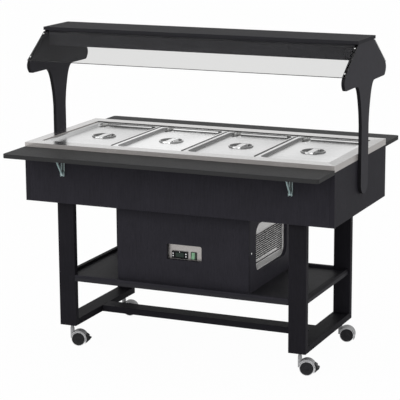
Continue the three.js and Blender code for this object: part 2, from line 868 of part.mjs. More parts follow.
// Right half of a support's outline, from the bottom of the stem up to the head's top
function supportHalf() {
  const roundZ = worktopHeight - supportLap + stemHalfWidth;
  const lobeBottomHalfWidth = headHalfWidth - lobeBottomSetback;
  const lobeFlatHalfWidth = headHalfWidth - lobeFlatSetback;
  const path = new THREE.Path();
  path.moveTo(0, worktopHeight - supportLap);
  path.absarc(0, roundZ, stemHalfWidth, -quarterTurn, 0, false);
  path.lineTo(stemHalfWidth, headUnderside - flareStartDrop);
  path.quadraticCurveTo(
    stemHalfWidth, headUnderside - flareSoftDrop,
    stemHalfWidth + flareLowGrowth, headUnderside - flareLowDrop,
  );
  path.lineTo(stemHalfWidth + flareMidGrowth, headUnderside - flareMidDrop);
  path.lineTo(stemHalfWidth + flareHighGrowth, headUnderside - flareHighDrop);
  path.quadraticCurveTo(
    stemHalfWidth + flareSoftGrowth, headUnderside, stemHalfWidth + headRootGrowth, headUnderside,
  );
  path.lineTo(lobeFlatHalfWidth, headUnderside);
  path.quadraticCurveTo(
    lobeBottomHalfWidth, headUnderside, lobeBottomHalfWidth, headUnderside + lobeBottomRise,
  );
  path.quadraticCurveTo(
    headHalfWidth, headUnderside + lobeSoftRise, headHalfWidth, headUnderside + lobeTipRise,
  );
  path.quadraticCurveTo(
    headHalfWidth, headUnderside + lobeShoulderRise, lobeTopHalfWidth, lobeTopHeight,
  );
  path.lineTo(headTopHalfWidth, headTop);
  return path;
}

function supportShape() {
  const right = supportHalf().getPoints(curveSteps);
  const left = right.slice(1).reverse().map((point) => new THREE.Vector2(-point.x, point.y));
  return new THREE.Shape([...right, ...left]);
}

// Clear screen lying on the slanted edges of both heads, drawn for the rear
function screenGeometry() {
  const run = lobeTopHalfWidth - headTopHalfWidth;
  const fall = headTop - lobeTopHeight;
  const slope = Math.hypot(run, fall);
  const along = new THREE.Vector2(run / slope, -fall / slope);
  const out = new THREE.Vector2(fall / slope, run / slope);
  const origin = new THREE.Vector2(headTopHalfWidth, headTop);
  const end = slope + screenTail;
  const top = seatGap + screenThickness;
  const corners = [[screenStart, seatGap], [end, seatGap], [end, top], [screenStart, top]].map(
    ([down, lift]) => origin.clone().addScaledVector(along, down).addScaledVector(out, lift),
  );
  return alongX(new THREE.Shape(corners), -supportOuter, supportOuter);
}

function buildCanopy() {
  const shape = supportShape();
  place('canopy_support_left', alongX(shape, -supportOuter, -supportInner), canopyWood);
  place('canopy_support_right', alongX(shape, supportInner, supportOuter), canopyWood);
  const top = block(
    both(supportOuter + canopyOverhang), around(0, canopyTopDepth), [canopyUnder, canopyTop],
  );
  place('canopy_top', top, canopyWood);
  const face = headTopHalfWidth - fasciaSetback;
  const fascia = block(both(supportInner - seatGap), [0, canopyBoard], [headTop - fasciaHeight, headTop]);
  place('canopy_fascia_front', fascia, canopyWood, 0, -face);
  place('canopy_fascia_rear', fascia.clone(), canopyWood, 0, face - canopyBoard);
  place('screen_rear', screenGeometry(), acrylic);
  place('screen_front', screenGeometry(), acrylic, 0, 0, 0, halfTurn);
}

// Swivel part of a caster, with its swivel axis at the local origin
function casterHousingGeometry() {
  const ringMiddle = (hoodInner + hoodOuter) * halfShare;
  const neckTop = wheelRadius + hoodOuter + neckTopRise;
  const hoodShape = new THREE.Shape();
  hoodShape.absarc(casterTrail, wheelRadius, hoodOuter, hoodStart, hoodEnd, false);
  hoodShape.absarc(casterTrail, wheelRadius, hoodInner, hoodEnd, hoodStart, true);
  const hood = alongY(hoodShape, wheelHalfWidth, roundSteps);
  const web = rodY(webRadius, casterTrail, both(webHalf), wheelRadius);
  const rib = block(
    around(casterTrail, webRadius), both(webHalf), [wheelRadius, wheelRadius + ringMiddle],
  );
  const neck = postZ(neckRadius, 0, 0, [wheelRadius, neckTop]);
  const brace = block([0, casterTrail], both(webHalf), [wheelRadius, wheelRadius + webRadius]);
  const stem = postZ(stemRadius, 0, 0, [wheelRadius, casterHeight - seatGap], smallRoundSteps);
  const sides = [[-wheelHalfWidth - overrun, -webHalf], [webHalf, wheelHalfWidth + overrun]];
  const rooms = sides.map((y) => rodY(hoodInner, casterTrail, y, wheelRadius, wheelSteps));
  const axleHole = rodY(axleRadius + seatGap, casterTrail, both(wheelHalfWidth), wheelRadius);
  return solid([hood, web, rib, neck, brace, stem], [...rooms, axleHole]);
}

// Two wheels on one axle, turning about the local Y axis
function wheelGeometry() {
  const edge = wheelRadius - wheelRound;
  const profile = [
    [0, -wheelHalfWidth], [edge, -wheelHalfWidth], [wheelRadius, wheelRound - wheelHalfWidth],
    [wheelRadius, -wheelInnerHalf - wheelRound], [edge, -wheelInnerHalf],
    [axleRadius, -wheelInnerHalf], [axleRadius, wheelInnerHalf],
    [edge, wheelInnerHalf], [wheelRadius, wheelInnerHalf + wheelRound],
    [wheelRadius, wheelHalfWidth - wheelRound], [edge, wheelHalfWidth], [0, wheelHalfWidth],
  ].map(([radius, along]) => new THREE.Vector2(radius, along));
  return new THREE.LatheGeometry(profile, wheelSteps);
}

// Brake pedal: a wedge that rides round the outside of the hood
function pedalGeometry() {
  const inner = hoodOuter + seatGap;
  const fromAxle = (radius, angle) => [
    casterTrail + radius * Math.cos(angle), wheelRadius + radius * Math.sin(angle),
  ];
  const shape = new THREE.Shape();
  shape.moveTo(...fromAxle(inner, pedalBottom));
  shape.lineTo(...fromAxle(inner + pedalLip, pedalBottom));
  shape.lineTo(...fromAxle(hoodOuter + pedalTipReach, 0));
  shape.lineTo(...fromAxle(hoodOuter + pedalCrownReach, pedalCrown));
  shape.lineTo(...fromAxle(inner + pedalLip, pedalTop));
  shape.lineTo(...fromAxle(inner, pedalTop));
  shape.absarc(casterTrail, wheelRadius, inner, pedalTop, pedalBottom, true);
  return alongY(shape, pedalHalfWidth, ventSteps);
}

function buildCasters() {
  const housing = casterHousingGeometry();
  const wheels = wheelGeometry();
  const pedal = pedalGeometry();
  const trail = new THREE.Vector2(casterTrail * Math.cos(casterYaw), casterTrail * Math.sin(casterYaw));
  for (const [end, y] of [['front', -casterY], ['rear', casterY]]) {
    for (const [side, x] of [['left', -casterX], ['right', casterX]]) {
      place(`caster_housing_${end}_${side}`, housing.clone(), hoodPlastic, x, y, 0, casterYaw);
      place(
        `caster_wheels_${end}_${side}`, wheels.clone(), blackPlastic,
        x + trail.x, y + trail.y, wheelRadius, casterYaw,
      );
      if (end === 'front') {
        place(`brake_pedal_${side}`, pedal.clone(), blackPlastic, x, y, 0, casterYaw);
      }
    }
  }
}

buildBody();
buildWorktop();
buildPans();
buildUnderframe();
buildShelf();
buildHousing();
buildGrille();
buildCondensingUnit();
buildControlPlate();
buildThermostat();
buildRocker();
buildFlaps();
buildCanopy();
buildCasters();

export default trolley;
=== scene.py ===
"""Refrigerated buffet trolley: the visible pieces and their finishes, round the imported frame."""

from __future__ import annotations

import logging
import math
from dataclasses import dataclass, replace
from enum import Enum
from typing import Callable, Iterable, Sequence

import bmesh
import bpy
from mathutils import Matrix, Vector


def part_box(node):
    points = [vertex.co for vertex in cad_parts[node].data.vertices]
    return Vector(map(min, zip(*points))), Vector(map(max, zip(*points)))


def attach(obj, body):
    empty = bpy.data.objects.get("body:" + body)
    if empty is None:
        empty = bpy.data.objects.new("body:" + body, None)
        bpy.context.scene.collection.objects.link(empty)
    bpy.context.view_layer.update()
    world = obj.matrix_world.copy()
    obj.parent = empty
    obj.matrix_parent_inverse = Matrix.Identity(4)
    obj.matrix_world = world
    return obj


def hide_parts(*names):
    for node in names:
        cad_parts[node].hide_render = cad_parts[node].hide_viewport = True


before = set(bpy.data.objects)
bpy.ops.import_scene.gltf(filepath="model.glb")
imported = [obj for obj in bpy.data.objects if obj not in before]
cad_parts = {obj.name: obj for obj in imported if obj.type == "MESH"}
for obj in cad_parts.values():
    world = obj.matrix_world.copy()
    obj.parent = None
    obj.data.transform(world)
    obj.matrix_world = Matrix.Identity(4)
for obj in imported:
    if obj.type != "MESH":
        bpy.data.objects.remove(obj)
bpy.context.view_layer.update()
LOG = logging.getLogger("trolley")
MM = 0.001
CORNER_FACETS = 6
# The body that all the fixed pieces ride on.
FIXED = "trolley"
# The trolley's ends with their turn in degrees, and its sides with their sign on x.
ENDS = {"front": 0, "rear": 180}
SIDES = {"left": -1, "right": 1}
# How far a normal or an edge has to point one way, as a cosine.
LITTLE, HALFWAY, MOSTLY, NEARLY, PARALLEL = 0.3, 0.5, 0.8, 0.95, 0.99

Point = Sequence[float]
Pair = tuple[float, float]
Colour = tuple[float, float, float]
FaceTest = Callable[[Vector, Vector], float]
EdgeTest = Callable[[Vector, Vector], bool]
Node = bpy.types.Node
Socket = bpy.types.NodeSocket


class Axis(Enum):
    """A direction along which a piece runs, or a pattern is stretched."""

    X = 0
    Y = 1
    Z = 2

    def unit(self) -> Vector:
        """Returns the axis as a unit vector."""
        return Vector([float(index == self.value) for index in range(3)])


def along(axis: Axis) -> EdgeTest:
    """Makes a test for edges that run along an axis.

    Args:
        axis: The axis.

    Returns:
        A test of an edge's two ends.
    """
    unit = axis.unit()
    return lambda a, b: (b - a).length > 0 and abs((b - a).normalized().dot(unit)) > PARALLEL


def polar(centre: Point, radius: float, turn: float) -> Pair:
    """Returns the point at a distance from a centre, and at an angle in radians."""
    return (centre[0] + radius * math.cos(turn), centre[1] + radius * math.sin(turn))


def arc(centre: Point, radius: float, start: float, end: float, steps: int) -> list[Pair]:
    """Lists points along an arc.

    Args:
        centre: The arc's centre.
        radius: Its radius.
        start: The angle in degrees where it starts.
        end: The angle where it ends.
        steps: The number of its facets.

    Returns:
        The points, both ends included.
    """
    turns = [math.radians(start + (end - start) * index / steps) for index in range(steps + 1)]
    return [polar(centre, radius, turn) for turn in turns]


def rounded(
    half_width: float, half_depth: float, radius: float, centre: Point = (0, 0),
    steps: int = CORNER_FACETS,
) -> list[Pair]:
    """Lists the points of a rounded rectangle, in metres.

    Args:
        half_width: Half its width.
        half_depth: Half its depth.
        radius: The radius of its corners.
        centre: Its middle.
        steps: The facets of a corner.

    Returns:
        The points, anticlockwise from the right side.
    """
    points = []
    for corner, (side, end) in enumerate(((1, 1), (-1, 1), (-1, -1), (1, -1))):
        middle_x = centre[0] + side * (half_width - radius)
        middle_y = centre[1] + end * (half_depth - radius)
        points += arc((middle_x, middle_y), radius, 90 * corner, 90 * (corner + 1), steps)
    return points


def ring(radius: float) -> list[Pair]:
    """Lists the points of a circle that match those of a rounded rectangle one by one."""
    count = 4 * (CORNER_FACETS + 1)
    return [polar((0, 0), radius, math.tau * (index + 0.5) / count) for index in range(count)]


def cross(x: float, y: float, in_x: float, in_y: float) -> list[Pair]:
    """Lists the points of a rectangle with its corners notched, or a cross.

    Args:
        x: Half its width.
        y: Half its depth.
        in_x: Half its width between the notches.
        in_y: Half its depth between the notches.

    Returns:
        The points, anticlockwise from the right side.
    """
    return [
        (x, -in_y), (x, in_y), (in_x, in_y), (in_x, y), (-in_x, y), (-in_x, in_y),
        (-x, in_y), (-x, -in_y), (-in_x, -in_y), (-in_x, -y), (in_x, -y), (in_x, -in_y),
    ]


def bend(start: Point, pull: Point, end: Point, steps: int = 8) -> list[Pair]:
    """Lists points along a soft bend, without its first point.

    Args:
        start: Where it starts.
        pull: The point that pulls the bend.
        end: Where it ends.
        steps: The number of its facets.

    Returns:
        The points after the first, in order.
    """
    points = []
    for index in range(1, steps + 1):
        t = index / steps
        points.append(tuple(
            (1 - t) ** 2 * a + 2 * t * (1 - t) * b + t * t * c for a, b, c in zip(start, pull, end)
        ))
    return points


def metres(table: Iterable[Point], mirror: float = 1) -> list[Pair]:
    """Turns a table of millimetres into metres, and mirrors its second column for -1."""
    return [(first * MM, mirror * second * MM) for first, second in table]


def lay(point: Point, axis: Axis, level: float) -> Vector:
    """Returns the place of a flat point at a level on the axis across it.

    Args:
        point: The point, by the two other axes.
        axis: The axis across it.
        level: Its place on that axis.

    Returns:
        The place in space.
    """
    place = [*point]
    place.insert(axis.value, level)
    return Vector(place)


class Workpiece:
    """One mesh under work: a primitive that operators shape into a finished piece."""

    def __init__(self, obj: bpy.types.Object, name: str) -> None:
        """Takes an object up under a name.

        Args:
            obj: The object.
            name: The piece's name.
        """
        self.obj = obj
        obj.name = name
        obj.data.name = name

    @classmethod
    def start(cls, name: str, operator: Callable[..., object], **settings: object) -> Workpiece:
        """Adds a primitive, with nothing else selected.

        Args:
            name: The piece's name.
            operator: The operator that adds it.
            settings: The operator's settings.

        Returns:
            The new piece.
        """
        bpy.ops.object.select_all(action="DESELECT")
        operator(**settings)
        return cls(bpy.context.active_object, name)

    @classmethod
    def block(cls, name: str, low: Point, high: Point) -> Workpiece:
        """Starts from a block between two corners, in metres.

        Args:
            name: The piece's name.
            low: The lowest corner.
            high: The highest corner.

        Returns:
            The new piece.
        """
        low, high = Vector(low), Vector(high)
        piece = cls.start(name, bpy.ops.mesh.primitive_cube_add, size=1, location=(low + high) / 2)
        piece.obj.scale = high - low
        return piece.settle()

    @classmethod
    def slab(
        cls, name: str, middle: Point, half: Point, axis: Axis, start: float, end: float
    ) -> Workpiece:
        """Starts from a block given by its middle and its half sizes across an axis.

        Args:
            name: The piece's name.
            middle: Its middle, by the two axes other than the given one.
            half: Half its sizes on those axes.
            axis: The axis along which it gets its thickness.
            start: Where the thickness starts on that axis.
            end: Where it ends.

        Returns:
            The new piece.
        """
        low = lay((middle[0] - half[0], middle[1] - half[1]), axis, start)
        high = lay((middle[0] + half[0], middle[1] + half[1]), axis, end)
        return cls.block(name, low, high)

    @classmethod
    def disc(
        cls, name: str, centre: Point, radius: float, length: float, axis: Axis, sides: int = 40
    ) -> Workpiece:
        """Starts from a round bar.

        Args:
            name: The piece's name.
            centre: The middle of the bar.
            radius: Its radius.
            length: Its length.
            axis: The axis along which it runs.
            sides: The number of its facets.

        Returns:
            The new piece.
        """
        quarter = math.pi / 2
        turn = {Axis.X: (0, quarter, 0), Axis.Y: (quarter, 0, 0), Axis.Z: (0, 0, 0)}[axis]
        return cls.start(
            name, bpy.ops.mesh.primitive_cylinder_add, vertices=sides, radius=radius,
            depth=length, location=centre, rotation=turn,
        ).settle()

    @classmethod
    def polygon(cls, name: str, places: Sequence[Point], fill: str = "NGON") -> Workpiece:
        """Starts from a ring of points, and goes into edit mode with all of it selected.

        Args:
            name: The piece's name.
            places: Where its points stand.
            fill: NGON for a filled ring, NOTHING for its edges alone.

        Returns:
            The new piece.
        """
        count = len(places)
        piece = cls.start(
            name, bpy.ops.mesh.primitive_circle_add, vertices=count, radius=1, fill_type=fill
        )
        for vertex, place in zip(piece.obj.data.vertices, places):
            vertex.co = place
        return piece.enter("FACE" if fill == "NGON" else "EDGE").whole()

    @classmethod
    def outline(
        cls, name: str, points: Sequence[Point], axis: Axis, start: float, end: float
    ) -> Workpiece:
        """Starts from a filled ring whose points follow an outline, and pulls it to a thickness.

        Args:
            name: The piece's name.
            points: The outline's points, by the two axes other than the given one, in order.
            axis: The axis along which the outline gets its thickness.
            start: Where the thickness starts on that axis.
            end: Where it ends.

        Returns:
            The new piece.
        """
        piece = cls.polygon(name, [lay(point, axis, start) for point in points])
        return piece.extrude(axis.unit() * (end - start)).outwards().done()

    @classmethod
    def stepped(cls, name: str, rings: Sequence[tuple[Sequence[Point], float]]) -> Workpiece:
        """Starts from a filled level ring, and sinks or raises its face ring by ring.

        Args:
            name: The piece's name.
            rings: Each ring's points and its level; all have as many points.

        Returns:
            The new piece, an open sheet that faces up.
        """
        places = [[Vector((*point, level)) for point in points] for points, level in rings]
        count = len(places[0])
        piece = cls.polygon(name, places[0])
        for before, after in zip(places, places[1:]):
            piece.extrude((0, 0, 0))
            mesh = bmesh.from_edit_mesh(piece.obj.data)
            for vertex in (vertex for vertex in mesh.verts if vertex.select):
                index = min(
                    range(count), key=lambda number: (before[number] - vertex.co).length_squared
                )
                vertex.co = after[index]
            bmesh.update_edit_mesh(piece.obj.data)
        start = sum(places[0], Vector()) / count
        piece.faces(lambda centre, normal: (centre - start).length < MM / 10).remove()
        piece.outwards().done()
        last = max(piece.obj.data.polygons, key=lambda face: len(face.vertices))
        if last.normal.z < 0:
            piece.enter("FACE").whole()
            bpy.ops.mesh.flip_normals()
        return piece.done()

    @classmethod
    def turned(
        cls, name: str, profile: Sequence[Point], centre: Point, axis: Axis, steps: int = 48
    ) -> Workpiece:
        """Spins a closed profile round an axis, as on a lathe.

        Args:
            name: The piece's name.
            profile: Points of radius and height along the axis, in order round the profile.
            centre: The point on the axis where the height is zero.
            axis: The axis to spin round.
            steps: The number of facets round the piece.

        Returns:
            The new piece.
        """
        unit, radial = axis.unit(), Axis((axis.value + 1) % 3).unit()
        places = [Vector(centre) + radial * radius + unit * height for radius, height in profile]
        piece = cls.polygon(name, places, "NOTHING")
        bpy.ops.mesh.spin(
            steps=steps, angle=math.tau, center=centre, axis=unit, use_auto_merge=True
        )
        return piece.weld().outwards().done()

    @classmethod
    def copy_of_node(cls, name: str, node: str) -> Workpiece:
        """Starts from a merged copy of a frame node's own mesh.

        Args:
            name: The piece's name.
            node: The frame node.

        Returns:
            The new piece.
        """
        obj = bpy.data.objects.new(name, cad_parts[node].data.copy())
        bpy.context.scene.collection.objects.link(obj)
        piece = cls(obj, name).enter("VERT").weld().whole()
        bpy.ops.mesh.dissolve_limited(angle_limit=math.radians(1))
        return piece.done()

    def pick(self, *others: Workpiece) -> Workpiece:
        """Leaves edit mode, and selects this object and any others, this one as the active one.

        Args:
            others: The other pieces to select.

        Returns:
            The same piece.
        """
        self.done()
        bpy.ops.object.select_all(action="DESELECT")
        for piece in (*others, self):
            piece.obj.select_set(True)
        bpy.context.view_layer.objects.active = self.obj
        return self

    def settle(self) -> Workpiece:
        """Moves the object's place, turn and scale into its mesh.

        Returns:
            The same piece.
        """
        self.pick()
        bpy.ops.object.transform_apply(location=True, rotation=True, scale=True)
        return self

    def enter(self, kind: str) -> Workpiece:
        """Goes into edit mode with nothing selected.

        Args:
            kind: VERT, EDGE or FACE.

        Returns:
            The same piece.
        """
        if bpy.context.mode != "EDIT_MESH":
            self.pick()
            bpy.ops.object.mode_set(mode="EDIT")
        bpy.ops.mesh.select_mode(type=kind)
        bpy.ops.mesh.select_all(action="DESELECT")
        return self

    def done(self) -> Workpiece:
        """Leaves edit mode.

        Returns:
            The same piece.
        """
        if bpy.context.mode == "EDIT_MESH":
            bpy.ops.object.mode_set(mode="OBJECT")
        return self

    def whole(self) -> Workpiece:
        """Selects the whole mesh."""
        bpy.ops.mesh.select_all(action="SELECT")
        return self

    def choose(self, kind: str, test: Callable[[object], bool]) -> Workpiece:
        """Selects the parts of the mesh that pass a test.

        Args:
            kind: VERT, EDGE or FACE.
            test: A test of one part.

        Returns:
            The same piece.
        """
        self.enter(kind)
        mesh = bmesh.from_edit_mesh(self.obj.data)
        if kind == "FACE":
            mesh.normal_update()
        for part in {"VERT": mesh.verts, "EDGE": mesh.edges, "FACE": mesh.faces}[kind]:
            part.select_set(test(part))
        bmesh.update_edit_mesh(self.obj.data)
        return self

    def faces(self, test: FaceTest) -> Workpiece:
        """Selects the faces whose centre and normal pass a test."""
        return self.choose("FACE", lambda face: test(face.calc_center_median(), face.normal))

    def edges(self, test: EdgeTest) -> Workpiece:
        """Selects the edges whose two ends pass a test."""
        return self.choose("EDGE", lambda edge: test(edge.verts[0].co, edge.verts[1].co))

    def points(self, test: Callable[[Vector], bool]) -> Workpiece:
        """Selects the points that pass a test."""
        return self.choose("VERT", lambda vertex: test(vertex.co))

    def extrude(self, move: Point) -> Workpiece:
        """Extrudes the selected faces by a move."""
        bpy.ops.mesh.extrude_region_move(TRANSFORM_OT_translate={"value": tuple(move)})
        return self

    def drop_edges(self, move: Point) -> Workpiece:
        """Extrudes the selected edges by a move, as a skirt."""
        bpy.ops.mesh.extrude_edges_move(TRANSFORM_OT_translate={"value": tuple(move)})
        return self

    def bevel(self, width: float, segments: int = 2) -> Workpiece:
        """Rounds the selected edges."""
        bpy.ops.mesh.bevel(offset=width, segments=segments, affect="EDGES", clamp_overlap=True)
        return self

    def bisect(self, place: float, axis: Axis) -> Workpiece:
        """Divides all faces along the plane across an axis at a place, and keeps both parts.

        Args:
            place: Where the plane stands on the axis.
            axis: The axis across which it lies.

        Returns:
            The same piece.
        """
        self.enter("EDGE").whole()
        bpy.ops.mesh.bisect(plane_co=axis.unit() * place, plane_no=axis.unit())
        return self

    def remove(self) -> Workpiece:
        """Deletes the selected faces."""
        bpy.ops.mesh.delete(type="FACE")
        return self

    def weld(self, distance: float = MM / 100) -> Workpiece:
        """Merges points that lie on each other.

        Args:
            distance: How near to each other they lie.

        Returns:
            The same piece.
        """
        self.whole()
        bpy.ops.mesh.remove_doubles(threshold=distance)
        bpy.ops.mesh.dissolve_degenerate(threshold=distance)
        return self

    def outwards(self) -> Workpiece:
        """Turns all faces of a closed shape outwards.

        Returns:
            The same piece.
        """
        self.whole()
        bpy.ops.mesh.normals_make_consistent(inside=False)
        return self

    def modify(self, kind: str, **settings: object) -> Workpiece:
        """Adds a modifier and applies it at once.

        Args:
            kind: The modifier's type.
            settings: The values to give it.

        Returns:
            The same piece.
        """
        self.pick()
        modifier = self.obj.modifiers.new(kind.title(), kind)
        for key, value in settings.items():
            setattr(modifier, key, value)
        bpy.ops.object.modifier_apply(modifier=modifier.name)
        return self

    def soften(
        self, width: float = 0.5 * MM, segments: int = 2, angle: float = 35
    ) -> Workpiece:
        """Rounds every edge sharper than an angle in degrees.

        Args:
            width: How wide the rounding is.
            segments: The number of its facets.
            angle: The angle.

        Returns:
            The same piece.
        """
        return self.modify(
            "BEVEL", width=width, segments=segments, limit_method="ANGLE",
            angle_limit=math.radians(angle), use_clamp_overlap=True,
        )

    def thicken(self, amount: float) -> Workpiece:
        """Gives a sheet its thickness, on the inner side."""
        return self.modify("SOLIDIFY", thickness=amount, offset=-1, use_even_offset=True)

    def cut(self, *tools: Workpiece) -> Workpiece:
        """Cuts other pieces out of this one and throws them away.

        Args:
            tools: The pieces to cut with.

        Returns:
            The same piece.
        """
        for tool in tools:
            self.modify("BOOLEAN", operation="DIFFERENCE", solver="EXACT", object=tool.obj)
        self.discard(*tools)
        return self

    def join(self, *others: Workpiece) -> Workpiece:
        """Takes other pieces into this one's mesh.

        Args:
            others: The pieces to take in.

        Returns:
            The same piece.
        """
        self.pick(*others)
        bpy.ops.object.join()
        return self

    def move(self, offset: Point) -> Workpiece:
        """Moves the whole mesh."""
        self.obj.data.transform(Matrix.Translation(Vector(offset)))
        return self

    def turn(self, degrees: float, axis: Axis) -> Workpiece:
        """Turns the whole mesh round an axis through the origin."""
        self.obj.data.transform(Matrix.Rotation(math.radians(degrees), 4, axis.unit()))
        return self

    def copy(self, name: str, offset: Point = (0, 0, 0)) -> Workpiece:
        """Makes a second piece with its own mesh.

        Args:
            name: The copy's name.
            offset: How far it is moved.

        Returns:
            The copy.
        """
        obj = self.obj.copy()
        obj.data = self.obj.data.copy()
        bpy.context.scene.collection.objects.link(obj)
        return Workpiece(obj, name).move(offset)

    @staticmethod
    def discard(*pieces: Workpiece) -> None:
        """Throws pieces away, when they have cut or their copies are made."""
        for piece in pieces:
            bpy.data.objects.remove(piece.obj)

    def band(self, thin: Axis) -> Workpiece:
        """Marks the narrow faces of a board that is thin along an axis."""
        unit = thin.unit()
        return self.mark("edge_band", lambda centre, normal: abs(normal.dot(unit)) < PARALLEL)

    def mark(self, name: str, test: FaceTest) -> Workpiece:
        """Gives each face's corners, in an attribute, the value that a test returns for it.

        Args:
            name: The attribute's name.
            test: A test of a face's centre and normal.

        Returns:
            The same piece.
        """
        self.done()
        mesh = self.obj.data
        layer = mesh.attributes.new(name, "FLOAT", "CORNER")
        for face in mesh.polygons:
            value = float(test(face.center, face.normal))
            for corner in face.loop_indices:
                layer.data[corner].value = value
        return self

    def fit(
        self, body: str, finish: Finish, slot: str, replaces: Iterable[str] = (), smooth: float = 40
    ) -> Workpiece:
        """Dresses the finished piece and puts it on its body.

        Args:
            body: The body that it rides on.
            finish: Its finish.
            slot: The name of a material slot; not used.
            replaces: The frame nodes that it stands for.
            smooth: The angle in degrees under which faces shade as one.

        Returns:
            The same piece.
        """
        self.pick()
        bpy.ops.object.shade_smooth_by_angle(angle=math.radians(smooth))
        self.modify("WEIGHTED_NORMAL", mode="FACE_AREA", weight=50, keep_sharp=True)
        self.obj.data.materials.clear()
        self.obj.data.materials.append(finish.material())
        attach(self.obj, body)
        if replaces:
            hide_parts(*replaces)
        LOG.info("%s rides on %s, %s", self.obj.name, body, finish.name)
        return self


class NodeBench:
    """Adds and joins the nodes of one node tree."""

    def __init__(self, tree: bpy.types.NodeTree) -> None:
        """Takes the tree to work on."""
        self.tree = tree

    def add(self, kind: str, **settings: object) -> Node:
        """Adds a node.

        Args:
            kind: The node's type.
            settings: Its properties.

        Returns:
            The node.
        """
        node = self.tree.nodes.new(kind)
        for key, value in settings.items():
            setattr(node, key, value)
        return node

    def feed(self, socket: Socket, value: object) -> None:
        """Joins an output to a socket, or sets the socket to a plain value.

        Args:
            socket: The socket.
            value: The output or the value.
        """
        if isinstance(value, Socket):
            self.tree.links.new(value, socket)
        else:
            socket.default_value = value

    def fill(self, node: Node, values: dict[str, object]) -> Node:
        """Feeds a node's inputs by their names, and returns the node.

        Args:
            node: The node.
            values: An output or a plain value for each input.

        Returns:
            The same node.
        """
        for name, value in values.items():
            self.feed(node.inputs[name], value)
        return node

    def attribute(self, name: str) -> Socket:
        """Reads an attribute that faces of the piece were marked with."""
        return self.add("ShaderNodeAttribute", attribute_name=name).outputs["Fac"]

    def noise(self, place: Socket, scale: float, detail: float, rough: float = 0.5) -> Socket:
        """Adds a noise pattern and returns its value."""
        values = {"Vector": place, "Scale": scale, "Detail": detail, "Roughness": rough}
        return self.fill(self.add("ShaderNodeTexNoise"), values).outputs["Fac"]

    def spread(
        self, value: Socket, low: float, high: float, out_low: float, out_high: float
    ) -> Socket:
        """Maps a value from one range to another, held at the ends.

        Args:
            value: The value.
            low: The lowest value taken.
            high: The highest value taken.
            out_low: What the lowest becomes.
            out_high: What the highest becomes.

        Returns:
            The mapped value.
        """
        node = self.add("ShaderNodeMapRange", clamp=True)
        for socket, number in zip(node.inputs, (value, low, high, out_low, out_high)):
            self.feed(socket, number)
        return node.outputs["Result"]

    def math(self, operation: str, *values: object) -> Socket:
        """Adds a sum, product or other operation on two or three values.

        Args:
            operation: The operation.
            values: The values, in order.

        Returns:
            The result.
        """
        node = self.add("ShaderNodeMath", operation=operation)
        for socket, value in zip(node.inputs, values):
            self.feed(socket, value)
        return node.outputs[0]

    def times(self, first: object, second: object) -> Socket:
        """Multiplies two values."""
        return self.math("MULTIPLY", first, second)

    def mix(self, share: object, first: object, second: object) -> Socket:
        """Mixes two colours by a share.

        Args:
            share: The second colour's share.
            first: The first colour.
            second: The second colour.

        Returns:
            The mixed colour.
        """
        node = self.add("ShaderNodeMix", data_type="RGBA")
        self.feed(node.inputs["Factor"], share)
        self.feed(node.inputs[6], first)
        self.feed(node.inputs[7], second)
        return node.outputs[2]

    def bump(self, height: Socket, depth: float, strength: float = 0.5) -> Socket:
        """Turns a height pattern into a normal; depth is in metres."""
        values = {"Strength": strength, "Distance": depth, "Height": height}
        return self.fill(self.add("ShaderNodeBump"), values).outputs["Normal"]

    def object_place(self, stretch: Point = (1, 1, 1)) -> Socket:
        """Gives the place on the piece, squeezed per axis so that a pattern is stretched.

        Args:
            stretch: The factor on each axis.

        Returns:
            The place.
        """
        coords = self.add("ShaderNodeTexCoord")
        values = {"Vector": coords.outputs["Object"], "Scale": tuple(stretch)}
        return self.fill(self.add("ShaderNodeMapping"), values).outputs["Vector"]

    def effect(
        self, effect: Effect, axis: Axis | None = None, squeeze: float = 1
    ) -> bpy.types.NodeOutputs:
        """Places a shared effect on the piece.

        Args:
            effect: The effect.
            axis: The axis along which its patterns are stretched, if any.
            squeeze: The share of its length on that axis that a pattern sees.

        Returns:
            The effect's patterns, by name.
        """
        place = self.object_place([squeeze if each is axis else 1.0 for each in Axis])
        node = self.add("ShaderNodeGroup", node_tree=effect.group())
        return self.fill(node, {"Place": place}).outputs


@dataclass(frozen=True)
class Pattern:
    """A noise pattern, and the range of its values that is spread to run from 0 to 1."""

    scale: float
    detail: float
    rough: float
    low: float
    high: float

    def draw(self, bench: NodeBench, place: Socket) -> Socket:
        """Adds the pattern at a place on the piece and returns its value."""
        value = bench.noise(place, self.scale, self.detail, self.rough)
        return bench.spread(value, self.low, self.high, 0, 1)


class Effect(Enum):
    """A surface effect that several finishes share, each a node group built once."""

    BOARD_GRAIN = "board_grain"
    BRUSHING = "brushing"
    MOULDED_SKIN = "moulded_skin"
    HANDLING = "handling"

    def group(self) -> bpy.types.NodeTree:
        """Returns the effect's node group, building it at first use."""
        return bpy.data.node_groups.get(self.value) or self.build()

    def build(self) -> bpy.types.NodeTree:
        """Builds the group.

        Returns:
            The new node group, with one output for each of the effect's patterns.
        """
        tree = bpy.data.node_groups.new(self.value, "ShaderNodeTree")
        tree.interface.new_socket("Place", in_out="INPUT", socket_type="NodeSocketVector")
        bench = NodeBench(tree)
        place = bench.add("NodeGroupInput").outputs["Place"]
        outputs = {name: pattern.draw(bench, place) for name, pattern in PATTERNS[self].items()}
        for name in outputs:
            tree.interface.new_socket(name, in_out="OUTPUT", socket_type="NodeSocketFloat")
        bench.fill(bench.add("NodeGroupOutput"), outputs)
        return tree


